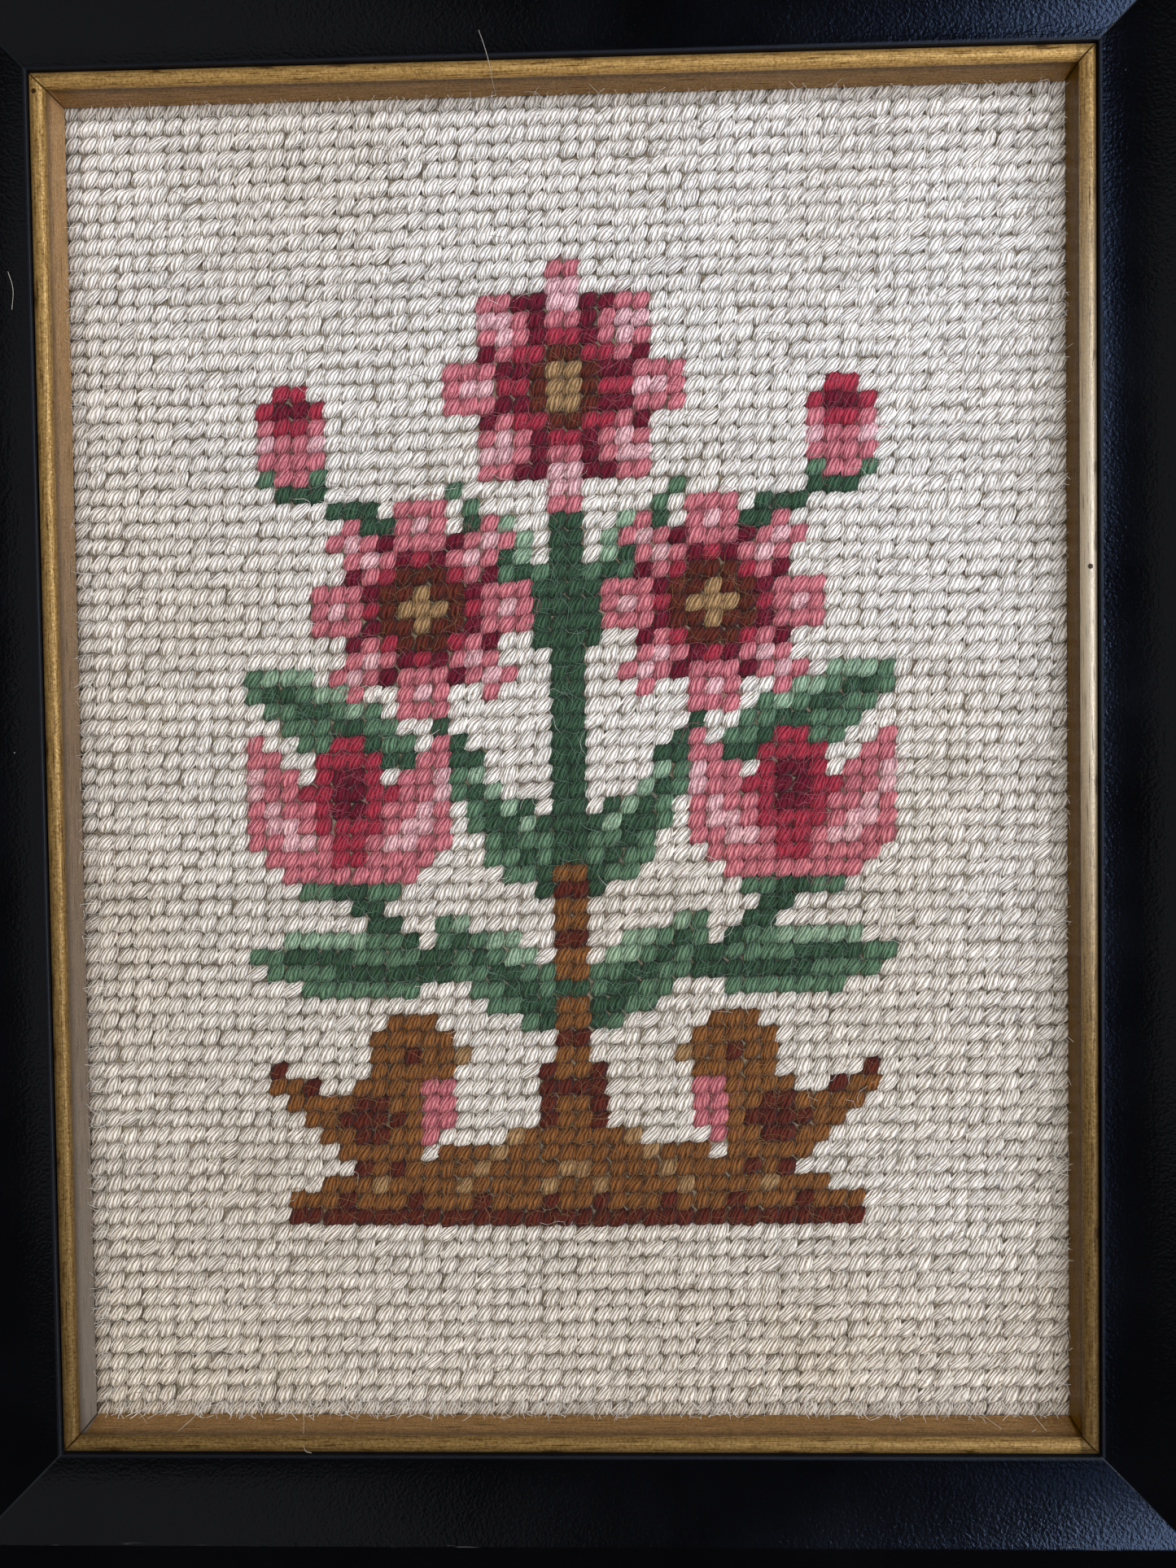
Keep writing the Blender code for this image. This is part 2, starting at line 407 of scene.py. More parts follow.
@dataclass(frozen=True)
class LacquerFinish:
    """Black lacquer brushed on wood: satin and pebbled, with dust, rare scuffs and a worn edge.

    The pebbles break the window's cool reflection into sparkle, so the face looks lively
    where it mirrors the window and plain black elsewhere.
    """

    rim_out: float
    outer_out: float
    cloud_mm: float = 16.0
    pebble_mm: float = 0.48
    swell_mm: float = 1.3
    grain_across_mm: float = 0.5
    grain_along_mm: float = 22.0
    grain_share: float = 0.22
    swell_share: float = 0.35
    relief_mm: float = 0.05
    satin: Pair = (0.13, 0.2)
    arris_mm: Pair = (3.15, 3.5)
    arris_roughness: float = 0.5
    rub_width_mm: float = 0.25
    rub_mm: float = 7.0
    rub_share: float = 0.45
    dust_mm: float = 5.0
    speck_radii: Pair = (0.014, 0.026)
    speck_share: float = 0.55
    clean_cells: float = 0.6
    edge_mm: float = 0.35
    edge_foot: float = 17.1 * MM
    edge_rise: float = 0.3 * MM
    chip_mm: float = 6.0
    chip_share: float = 0.8
    joint_mm: float = 30.0
    joint_line_mm: Pair = (0.08, 0.17)
    joint_shares: Pair = (0.01, 0.1)

    def build(self) -> Material:
        """Return the lacquer's material."""
        surface = Surface.named("black_lacquer_on_wood")
        outward, where = surface.attribute("outward"), surface.place()
        cloud = surface.noise(where, self.cloud_mm * MM, 3)
        colour = surface.mix(cloud, "#010102", "#050507")
        # Scuffs show grey, chips reddish primer, and rubbed joints and specks of dust a pale grey.
        for share, shown in (
            (self.wear(surface, outward), "#4d4a47"), (self.chips(surface, outward, where), "#5d3b2b"),
            (self.joint(surface, where), "#7c8088"), (self.dust(surface, where), "#8f8c86"),
        ):
            colour = surface.mix(share, colour, shown)
        at_arris = outward.ramp(*metres(self.arris_mm), self.arris_roughness, 0)
        rough = cloud.ramp(0.3, 0.7, *self.satin) + at_arris
        inputs = {"Base Color": colour, "Roughness": rough, "IOR": 1.5, "Specular IOR Level": 0.5}
        return surface.finish(inputs, self.relief(surface, outward, where), self.relief_mm)

    def wear(self, surface: Surface, outward: Wire) -> Wire:
        """Return how far the rim is rubbed, in rare short dashes."""
        near_rim = outward.maths("COMPARE", self.rim_out, self.rub_width_mm * MM)
        dashes = surface.streaks(surface.attribute("along"), self.rub_mm, outward, self.grain_across_mm, 2)
        return dashes.ramp(0.64, 0.72, 0, self.rub_share) * near_rim

    def chips(self, surface: Surface, outward: Wire, where: Wire) -> Wire:
        """Return where the outermost edge shows reddish primer through worn lacquer."""
        edge = self.edge_mm * MM
        at_edge = outward.ramp(self.outer_out - edge, self.outer_out - 0.5 * edge)
        upper = where.axes()[2].ramp(self.edge_foot, self.edge_foot + self.edge_rise)
        bare = surface.noise(where, self.chip_mm * MM, 4).ramp(0.48, 0.56, 0, self.chip_share)
        return at_edge * upper * bare

    def joint(self, surface: Surface, where: Wire) -> Wire:
        """Return where a mitre's edge is rubbed to a fine pale line."""
        at_joint = surface.attribute("to_mitre").ramp(*metres(self.joint_line_mm), 1, 0)
        rubbed = surface.noise(where, self.joint_mm * MM, 3).ramp(0.4, 0.62, *self.joint_shares)
        return at_joint * rubbed

    def dust(self, surface: Surface, where: Wire) -> Wire:
        """Return a sparse scatter of pale specks, in fewer than half of the cells."""
        pattern = {"Vector": where, "Scale": 1 / (self.dust_mm * MM), "Randomness": 1.0}
        cells = surface.add("ShaderNodeTexVoronoi", pattern)
        drawn = surface.add("ShaderNodeSeparateColor", {"Color": cells.of("Color")})
        specks = cells.of("Distance").ramp(*self.speck_radii, self.speck_share, 0)
        return specks * (drawn > self.clean_cells)

    def relief(self, surface: Surface, outward: Wire, where: Wire) -> Wire:
        """Return the height of brush grain under pebbled lacquer."""
        along = surface.attribute("along")
        grain = surface.streaks(outward, self.grain_across_mm, along, self.grain_along_mm, 3)
        pebbles = surface.noise(where, self.pebble_mm * MM, 2)
        swells = surface.noise(where, self.swell_mm * MM, 1)
        return grain * self.grain_share + (swells * self.swell_share + pebbles)


@dataclass(frozen=True)
class GiltFinish:
    """Gold paint on a milled wood strip: satin and mottled on the bead, matt brown on the wall.

    The right bead carries a painted highlight of the window, and the left wall is dusty, with a painted
    reflection of the room. Painted light and shade brighten or darken each wall and the bead by how the
    window's light falls, and painted shade darkens the wall under the bead. Fine lengthwise tool lines
    and dirt run along the strip.
    """

    quirk_height: float
    streak_across_mm: float = 0.2
    streak_along_mm: float = 5.5
    mottle_mm: float = 0.38
    grit_mm: float = 0.24
    grit_share: float = 0.6
    streak_share: float = 0.7
    tones: Pair = (0.62, 1.08)
    relief_mm: float = 0.07
    shade_drop_mm: float = 2.4
    quirk_width_mm: float = 0.12
    crack_share: float = 0.65
    quirk_share: float = 0.5
    joint_line_mm: Pair = (0.06, 0.16)
    joint_share: float = 0.6
    side_mm: Pair = (72.8, 73.1)
    dusty_from_mm: Pair = (60.0, -90.0)
    dust_shares: Pair = (0.12, 0.75)
    handled_at_mm: float = 24.0
    handled_within_mm: Pair = (4.0, 76.0)
    handled_share: float = 0.7
    right_wall_loss: float = 0.62
    right_wall_warmth: float = 0.8
    left_wall_from_mm: Pair = (5.0, 90.0)
    left_wall_gain: float = 0.7
    bead_middle: float = 0.56
    bead_slope: float = 1.8
    bead_limits: Pair = (0.2, 1.1)
    right_bead_from_mm: Pair = (-62.0, 5.0)
    right_bead: Pair = (0.24, 0.52)
    crown_mm: Pair = (0.7, 2.6)
    crown: Pair = (1.3, 0.78)
    metal: Pair = (0.42, 0.05)
    nail_holes_mm: tuple[Pair, ...] = ((-74.9, 97.7), (74.7, 27.4))
    nail_hole_radius_mm: float = 0.32

    def build(self) -> Material:
        """Return the gilding's material."""
        surface = Surface.named("gold_paint_on_wood")
        where, outward, along = surface.place(), surface.attribute("outward"), surface.attribute("along")
        across, up, height = where.axes()
        start, end = metres(self.side_mm)
        right, left = across.ramp(start, end), across.ramp(-end, -start, 1, 0)
        wall = height.ramp(self.quirk_height - 0.15 * MM, self.quirk_height + 0.1 * MM, 1, 0)
        streak = surface.streaks(outward + height, self.streak_across_mm, along, self.streak_along_mm, 4)
        mixed = streak * self.streak_share + surface.noise(where, self.mottle_mm * MM, 4, rough=0.65)
        tone = mixed.ramp(*self.tones)
        gold = surface.mix(tone, "#7d5929", "#d9ae68")
        colour = surface.mix(wall, gold, surface.mix(tone, "#6c4e25", "#b58a54"))
        # Dust and a painted reflection of the room grey the left wall, most towards the bottom.
        dust = left * up.ramp(*metres(self.dusty_from_mm), *self.dust_shares) * wall
        colour = surface.mix(dust, colour, "#8c8982")
        # Painted highlight: a cream reflection of the window on the right bead, strongest near its middle.
        from_highlight = abs(up - self.handled_at_mm * MM)
        painted_highlight = from_highlight.ramp(*metres(self.handled_within_mm), 1, 0, "SMOOTHSTEP")
        colour = surface.mix(painted_highlight * right * (1 - wall) * self.handled_share, colour, "#f5e4c6")
        # Painted light and shade: the right wall, facing away from the window, is darker, the left wall
        # grows lighter upwards, and the bead's brightness is painted light too.
        left_light = up.ramp(*metres(self.left_wall_from_mm), 0, self.left_wall_gain)
        wall_light = 1 - right * self.right_wall_loss + left * left_light
        bead_light = self.bead_brightness(surface, right, across, up, outward)
        kept = surface.add("ShaderNodeMix", {"Factor": wall, "A": bead_light, "B": wall_light}, data_type="FLOAT")
        warmth = right * self.right_wall_warmth * wall + 1
        toned = {"Saturation": warmth, "Value": kept, "Color": colour}
        colour = surface.add("ShaderNodeHueSaturation", toned)
        # Dark cracks, mitres and nail holes, and painted shade under the bead.
        colour = surface.mix(self.grime(surface, streak, height, where), colour, "#2a1809")
        inputs = {
            "Base Color": colour, "Metallic": wall.ramp(0, 1, *self.metal), "Specular IOR Level": 0.1,
            "Roughness": mixed.ramp(0.6, 1.1, 0.52, 0.34),
        }
        grit = surface.noise(where, self.grit_mm * MM, 2) * self.grit_share + mixed
        return surface.finish(inputs, grit, self.relief_mm, strength=0.7)

    def bead_brightness(self, surface: Surface, right: Wire, across: Wire, up: Wire, outward: Wire) -> Wire:
        """Return the painted light and shade on the bead: lighter towards the top right and on its inner
        side, darker towards the bottom left and on its outer side.
        """
        bright = across * self.bead_slope + (up * self.bead_slope + self.bead_middle)
        right_light = up.ramp(*metres(self.right_bead_from_mm), *self.right_bead)
        uneven = surface.add("ShaderNodeMix", {"Factor": right, "A": bright, "B": right_light}, data_type="FLOAT")
        crown = outward.ramp(*metres(self.crown_mm), *self.crown)
        lowest, highest = self.bead_limits
        return uneven.maths("MINIMUM", highest).maths("MAXIMUM", lowest) * crown

    def grime(self, surface: Surface, streak: Wire, height: Wire, where: Wire) -> Wire:
        """Return how dark the cracks, the mitres and the nail holes are, with painted shade on the wall
        under the bead's quirk.
        """
        quirk = self.quirk_height
        drop = self.shade_drop_mm * MM
        # Painted shade on the wall just under the bead.
        shade = height.ramp(quirk - drop, quirk, 0, self.quirk_share, "SMOOTHERSTEP")
        under_bead = height < quirk + self.quirk_width_mm * MM
        joints = surface.attribute("to_mitre").ramp(*metres(self.joint_line_mm), self.joint_share, 0)
        cracks = streak.ramp(0.34, 0.42, self.crack_share, 0)
        darkest = cracks.maths("MAXIMUM", shade * under_bead).maths("MAXIMUM", joints)
        flat = surface.vector("MULTIPLY", where, (1, 1, 0))
        radius = self.nail_hole_radius_mm * MM
        for across, along in self.nail_holes_mm:
            off = surface.vector("DISTANCE", flat, (across * MM, along * MM, 0)).of("Value")
            darkest = darkest.maths("MAXIMUM", off.ramp(radius, 1.4 * radius, 0.95, 0))
        return darkest


@dataclass(frozen=True)
class BareWoodFinish:
    """Planed softwood that was never painted: pale, matt, with long grain."""

    grain_across_mm: float = 1.1
    grain_along_mm: float = 40.0

    def build(self) -> Material:
        """Return the bare wood's material."""
        surface = Surface.named("planed_softwood")
        outward, along = surface.attribute("outward"), surface.attribute("along")
        grain = surface.streaks(outward, self.grain_across_mm, along, self.grain_along_mm, 5, bent=0.6)
        colour = surface.mix(grain, "#8d6d47", "#cdb088")
        return surface.finish({"Base Color": colour, "Roughness": 0.75}, grain, depth_mm=0.1, strength=0.3)


@dataclass(frozen=True)
class BoardFinish:
    """Grey pressed board: matt, flecked with paper fibre and stained in clouds."""

    fleck_mm: float = 0.9
    stain_mm: float = 45.0

    def build(self) -> Material:
        """Return the board's material."""
        surface = Surface.named("grey_pressed_board")
        where = surface.place()
        fleck = surface.noise(where, self.fleck_mm * MM, 5, rough=0.7)
        paper = surface.mix(fleck, "#6d655b", "#a79d8e")
        colour = surface.mix(surface.noise(where, self.stain_mm * MM, 3), paper, "#8f7f68")
        return surface.finish({"Base Color": colour, "Roughness": 0.92}, fleck, depth_mm=0.08, strength=0.4)


@dataclass(frozen=True)
class CanvasFinish:
    """Unbleached cotton canvas: threads as far apart as the stitches, its colour darkened as painted shade
    so that it reads as shadow between the stitches.
    """

    column_pitch: float
    row_pitch: float
    lint_mm: float = 0.4

    def build(self) -> Material:
        """Return the canvas's material."""
        surface = Surface.named("cotton_needlepoint_canvas")
        where = surface.place()
        across, along, _ = where.axes()
        columns = (across * (math.tau / self.column_pitch)).maths("COSINE")
        threads = columns.maths("MAXIMUM", (along * (math.tau / self.row_pitch)).maths("COSINE"))
        # The canvas's own colour, darkened as painted shade for the gaps between the stitches.
        colour = surface.mix(surface.noise(where, self.lint_mm * MM, 3), "#665b49", "#877a65")
        return surface.finish({"Base Color": colour, "Roughness": 0.95}, threads, depth_mm=0.2, strength=0.6)


@dataclass(frozen=True)
class FloorFinish:
    """Pale matt studio paper."""

    tooth_mm: float = 3.0

    def build(self) -> Material:
        """Return the floor's material."""
        surface = Surface.named("pale_studio_paper")
        tooth = surface.noise(surface.place(), self.tooth_mm * MM, 3)
        return surface.finish({"Base Color": surface.mix(tooth, "#d6d3cd", "#dedbd5"), "Roughness": 0.9})


def new_tree(name: str, inputs: dict[str, str]) -> Wire:
    """Make a geometry tree whose inputs have names, and return the wire of what it is given.

    Args:
        name: the tree's name.
        inputs: each input's name, with the kind of its socket.

    Returns:
        The geometry that the tree is given, beside its other inputs.
    """
    tree = bpy.data.node_groups.new(name, "GeometryNodeTree")
    tree.interface.new_socket("Geometry", in_out="INPUT", socket_type="NodeSocketGeometry")
    for label, kind in inputs.items():
        tree.interface.new_socket(label, in_out="INPUT", socket_type=f"NodeSocket{kind}")
    tree.interface.new_socket("Geometry", in_out="OUTPUT", socket_type="NodeSocketGeometry")
    return Wire(tree, tree.nodes.new("NodeGroupInput").outputs[0])


def close_tree(shape: Wire) -> NodeTree:
    """Make a wire the result of its geometry tree, and return the tree."""
    result = shape.tree.nodes.new("NodeGroupOutput")
    shape.tree.links.new(shape.socket, result.inputs["Geometry"])
    return shape.tree


def link_mesh(name: str, mesh: Mesh) -> Object:
    """Return a new object for a mesh, at the origin and in the scene."""
    made = bpy.data.objects.new(name, mesh)
    bpy.context.scene.collection.objects.link(made)
    return made


def run_tree(name: str, base: Mesh, tree: NodeTree, values: dict) -> Object:
    """Run a geometry tree on a mesh and keep its result as a plain mesh.

    Args:
        name: the new piece's name.
        base: the mesh that the tree starts from.
        tree: the geometry tree.
        values: each named input's value.

    Returns:
        The piece, at the origin and without a modifier.
    """
    start = link_mesh(f"{name}_start", base)
    modifier = start.modifiers.new("shape", "NODES")
    modifier.node_group = tree
    for item in tree.interface.items_tree:
        if item.in_out == "INPUT" and item.name in values:
            modifier[item.identifier] = values[item.name]
    evaluated = start.evaluated_get(bpy.context.evaluated_depsgraph_get())
    mesh = bpy.data.meshes.new_from_object(evaluated)
    bpy.data.objects.remove(start, do_unlink=True)
    mesh.name = name
    return link_mesh(name, mesh)


def settle(piece: Object, slot: str, *replaced: str) -> Object:
    """Let a finished piece ride on the part, and hide the nodes that it stands for."""
    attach(piece, BODY)
    if replaced:
        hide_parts(*replaced)
    LOG.info("%s: %d triangles", piece.name, len(piece.data.loops) - 2 * len(piece.data.polygons))
    return piece


def arc(
    centre: Pair, radius: float, start_deg: float, end_deg: float, steps: int, rise: float | None = None,
) -> list[Pair]:
    """Return points along an arc, both ends included; with a rise of its own it is an ellipse's."""
    rise = radius if rise is None else rise
    turns = [math.radians(start_deg + (end_deg - start_deg) * step / steps) for step in range(steps + 1)]
    return [(centre[0] + radius * math.cos(turn), centre[1] + rise * math.sin(turn)) for turn in turns]


@dataclass(frozen=True)
class Opening:
    """The rectangle of needlework that shows inside the slip, by its half sizes."""

    half_width: float
    half_height: float

    @classmethod
    def from_frame(cls) -> "Opening":
        """Read the opening from the inner faces of the slip."""
        return cls(half_width=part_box("slip_right")[0][0], half_height=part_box("slip_top")[0][1])

    def run_and_edge(self, side: Side) -> Pair:
        """Return half the run along a side, and the distance from the middle to it."""
        if side in (Side.LEFT, Side.RIGHT):
            return self.half_height, self.half_width
        return self.half_width, self.half_height


# Only the last ring lies beyond this share of the half run.
LAST_RING = 0.999
# Taken off the noise, whose middle is near 0.5, so that the waves lower the section.
NOISE_OFFSET = 0.88
# A face looks one way when its normal's part that way passes this.
FACING = 0.5


def mitred_length_tree() -> NodeTree:
    """Make the tree that draws one section along a side and cuts both ends at 45 degrees.

    The section stands in local X and Z and runs along local Y. Rings crowd towards the
    ends, where the last one drops a little, as a sanded mitre does. The waves lower the
    section, so that it stays inside the part's box.
    """
    numbers = (
        "Half Run", "Edge", "Turn", "Mitre Gap", "Mitre Drop", "Waviness", "Wave Scale", "Full Height",
        "Ledge Height",
    )
    others = {"Profile": "Object", "Rings": "Int", "Finish": "Material", "Bare Finish": "Material"}
    given = new_tree("mitred_length", dict.fromkeys(numbers, "Float") | others)
    add = partial(add_node, given.tree)
    line = add("GeometryNodeCurvePrimitiveLine", {"Start": (0, -1, 0), "End": (0, 1, 0)})
    rings = add("GeometryNodeResampleCurve", {"Curve": line, "Count": given.of("Rings")})
    profile = add("GeometryNodeObjectInfo", {"Object": given.of("Profile")}).of("Geometry")
    shape = add("GeometryNodeCurveToMesh", {"Curve": rings, "Profile Curve": profile, "Fill Caps": True})
    outward, step, height = add("GeometryNodeInputPosition").axes()
    short = given.of("Half Run") + outward - given.of("Mitre Gap")
    along = step * (2 - abs(step)) * short
    drop = (abs(step) > LAST_RING) * given.of("Mitre Drop")
    wave_place = add("ShaderNodeCombineXYZ", {"X": outward, "Y": along, "Z": given.of("Edge")})
    waves = {"Vector": wave_place, "Scale": given.of("Wave Scale"), "Detail": 1.0}
    rise = (add("ShaderNodeTexNoise", waves) - NOISE_OFFSET) * given.of("Waviness")
    uneven = (rise - drop) * (height / given.of("Full Height")) + height
    place = add("ShaderNodeCombineXYZ", {"X": outward, "Y": along, "Z": uneven})
    for name, value in (("outward", outward), ("along", along), ("to_mitre", short - abs(along))):
        kept = {"Geometry": shape, "Name": name, "Value": value}
        shape = add("GeometryNodeStoreNamedAttribute", kept, data_type="FLOAT", domain="POINT")
    shape = add("GeometryNodeSetPosition", {"Geometry": shape, "Position": place})
    facing_out, _, facing_up = add("GeometryNodeInputNormal").axes()
    in_rabbet = (facing_out < -FACING) * (height < given.of("Ledge Height"))
    bare = (facing_up < -FACING).maths("MAXIMUM", in_rabbet)
    shape = add("GeometryNodeSetMaterial", {"Geometry": shape, "Material": given.of("Finish")})
    unpainted = {"Geometry": shape, "Selection": bare, "Material": given.of("Bare Finish")}
    shape = add("GeometryNodeSetMaterial", unpainted)
    turn = add("ShaderNodeCombineXYZ", {"Z": given.of("Turn")})
    across = add("ShaderNodeCombineXYZ", {"X": given.of("Edge")})
    moved = add("ShaderNodeVectorRotate", {"Vector": across, "Rotation": turn}, rotation_type="EULER_XYZ")
    turned = add("FunctionNodeEulerToRotation", {"Euler": turn})
    return close_tree(
        add("GeometryNodeTransform", {"Geometry": shape, "Translation": moved, "Rotation": turned})
    )


def section_object(name: str, outline: list[Pair]) -> Object:
    """Return a closed curve for a section, turned the way that the sweep needs it.

    Args:
        name: the curve's name.
        outline: points of (outward, height), anticlockwise.

    Returns:
        The curve's object, which is removed once the lengths are made.
    """
    curve = bpy.data.curves.new(name, "CURVE")
    curve.dimensions = "2D"
    curve.fill_mode = "NONE"
    spline = curve.splines.new("POLY")
    spline.points.add(len(outline) - 1)
    for point, (outward, height) in zip(spline.points, reversed(outline)):
        point.co = (outward, -height, 0, 1)
    spline.use_cyclic_u = True
    made = bpy.data.objects.new(name, curve)
    bpy.context.scene.collection.objects.link(made)
    return made


@dataclass
class MitredFrame:
    """Four mitred lengths of one section round the opening."""

    opening: Opening
    tree: NodeTree
    rings: int = 61
    smooth_under_deg: float = 32.0

    def build(self, prefix: str, slot: str, outline: list[Pair], values: dict) -> None:
        """Build the four lengths.

        Args:
            prefix: the first word of the nodes that they replace.
            slot: the record's material slot.
            outline: the section's points.
            values: the tree's inputs that all four share.
        """
        profile = section_object(f"{prefix}_section", outline)
        for side in Side:
            half_run, edge = self.opening.run_and_edge(side)
            own = {
                "Profile": profile, "Half Run": half_run, "Edge": edge, "Turn": math.radians(side.value),
                "Rings": self.rings,
            }
            start = bpy.data.meshes.new("start")
            piece = run_tree(f"{prefix}_{side.word}_length", start, self.tree, own | values)
            piece.data.shade_smooth()
            piece.data.set_sharp_from_angle(angle=math.radians(self.smooth_under_deg))
            settle(piece, slot, f"{prefix}_{side.word}")
        bpy.data.objects.remove(profile, do_unlink=True)


@dataclass
class Moulding:
    """The black moulding: rabbet, hollow face, rim, and a land that falls to the outer edge."""

    lengths: MitredFrame
    inner: float = 2.88 * MM
    rabbet_wall: float = 4.1 * MM
    rabbet_ledge: float = 11.3 * MM
    outer: float = 21.0 * MM
    full_height: float = 20.0 * MM
    arris_radius: float = 0.2 * MM
    face_foot: float = 17.15 * MM
    hollow_radius: float = 30.0 * MM
    hollow_lowest_out: float = 2.3 * MM
    rim_out: float = 15.0 * MM
    rim_radius: float = 0.7 * MM
    land_fall_deg: float = 16.0
    edge_radius: float = 0.9 * MM
    arris_steps: int = 6
    hollow_steps: int = 26
    rim_steps: int = 10
    edge_steps: int = 12

    def hollow_turn(self, out: float) -> float:
        """Return how far the hollow has turned from level at a distance from the slip, in radians."""
        return math.asin((out - self.hollow_lowest_out) / self.hollow_radius)

    def outline(self) -> list[Pair]:
        """Return the section, anticlockwise from the foot of the rabbet."""
        foot_out = self.inner + self.arris_radius
        foot, rim = self.hollow_turn(foot_out), self.hollow_turn(self.rim_out)
        middle = (self.hollow_lowest_out, self.face_foot + self.hollow_radius * math.cos(foot))
        rim_middle = (
            self.rim_out + self.rim_radius * math.sin(rim),
            middle[1] - (self.hollow_radius + self.rim_radius) * math.cos(rim),
        )
        land = math.radians(90 - self.land_fall_deg)
        level, upright = math.cos(land), math.sin(land)
        land_reach = rim_middle[0] * level + rim_middle[1] * upright + self.rim_radius
        edge_out = self.outer - self.edge_radius
        edge_middle = (edge_out, (land_reach - self.edge_radius - edge_out * level) / upright)
        arris_middle = (foot_out, self.face_foot - self.arris_radius)
        land_deg, rim_deg, foot_deg = 90 - self.land_fall_deg, math.degrees(rim), math.degrees(foot)
        return [
            (self.rabbet_wall, 0), (self.outer, 0),
            *arc(edge_middle, self.edge_radius, 0, land_deg, self.edge_steps),
            *arc(rim_middle, self.rim_radius, land_deg, 90 + rim_deg, self.rim_steps),
            *arc(middle, self.hollow_radius, rim_deg - 90, foot_deg - 90, self.hollow_steps)[1:],
            *arc(arris_middle, self.arris_radius, 90, 180, self.arris_steps)[1:],
            (self.inner, self.rabbet_ledge), (self.rabbet_wall, self.rabbet_ledge),
        ]

    def build(self) -> None:
        """Build the four rails."""
        values = {
            "Mitre Gap": 0.03 * MM, "Mitre Drop": 0.06 * MM, "Waviness": 0.16 * MM,
            "Wave Scale": 1 / (30 * MM), "Full Height": self.full_height, "Ledge Height": self.rabbet_ledge,
            "Finish": LacquerFinish(self.rim_out, self.outer).build(),
            "Bare Finish": BareWoodFinish().build(),
        }
        self.lengths.build("rail", "black_lacquered_wood", self.outline(), values)


@dataclass
class GiltSlip:
    """The gilt inner strip: a steep wall, a rounded bead, and a flange under the moulding."""

    lengths: MitredFrame
    foot: float
    lip_height: float = 17.0 * MM
    wall_slope: float = 0.4 * MM
    bead_width: float = 2.8 * MM
    bead_rise: float = 1.2 * MM
    flange_width: float = 3.8 * MM
    flange_thickness: float = 2.3 * MM
    bead_steps: int = 22
    bead_end_deg: float = 208.0
    quirk_depth: float = 0.16 * MM
    quirk_drop: float = 0.75 * MM

    def build(self) -> None:
        """Build the four strips, their section drawn anticlockwise from the foot of the wall."""
        flange_top = self.foot + self.flange_thickness
        bead_height = self.lip_height - self.bead_rise
        bead_middle = ((self.wall_slope + self.bead_width) / 2, bead_height)
        bead_half = (self.bead_width - self.wall_slope) / 2
        quirk_height = bead_height - self.quirk_drop
        outline = [
            (0, self.foot), (self.flange_width, self.foot), (self.flange_width, flange_top),
            (self.bead_width, flange_top),
            *arc(bead_middle, bead_half, 0, self.bead_end_deg, self.bead_steps, rise=self.bead_rise),
            (self.wall_slope + self.quirk_depth, quirk_height),
        ]
        finish = GiltFinish(quirk_height).build()
        values = {
            "Mitre Gap": 0.05 * MM, "Mitre Drop": 0.1 * MM, "Waviness": 0.12 * MM,
            "Wave Scale": 1 / (24 * MM), "Full Height": self.lip_height, "Ledge Height": 0.0,
            "Finish": finish, "Bare Finish": finish,
        }
        self.lengths.build("slip", "gilt_wood", outline, values)


@dataclass
class BackingBoard:
    """The plain board behind the cloth, kept from the frame."""

    node: str = "backing_board"

    def dress(self) -> None:
        """Give the board its finish."""
        board = frame["nodes"][self.node]
        finish = BoardFinish().build()
        if not board.material_slots:
            board.data.materials.append(finish)
        for holder in board.material_slots:
            holder.material = finish
        LOG.info("%s: dressed", self.node)


TULIP = (
    "p....r",
    "pp..rr",
    "bpp.rw",
    "bpprrw",
    "pbpprw",
    "pbbprr",
    "ppbbpr",
    ".ppppr",
    "..pppp",
    "...ssf",
)
BUD = (".r", "rw", "pr", "bp", "pp", "sp", ".f")
BIRD = (
    ".......nnn..",
    "......nnnnn.",
    "......nnunnt",
    "u.....nnnnn.",
    "nnu..nnnnpp.",
    ".nnnnuunnpp.",
    "..nnuuuunpp.",
    "...nnuunnp..",
    "....nnnnn...",
    ".....u.u....",
)
MARKS = {
    "w": Yarn.WINE, "r": Yarn.ROSE, "p": Yarn.PINK, "b": Yarn.BLUSH, "f": Yarn.FOREST,
    "s": Yarn.SAGE, "n": Yarn.BROWN, "u": Yarn.UMBER, "t": Yarn.TAN,
}


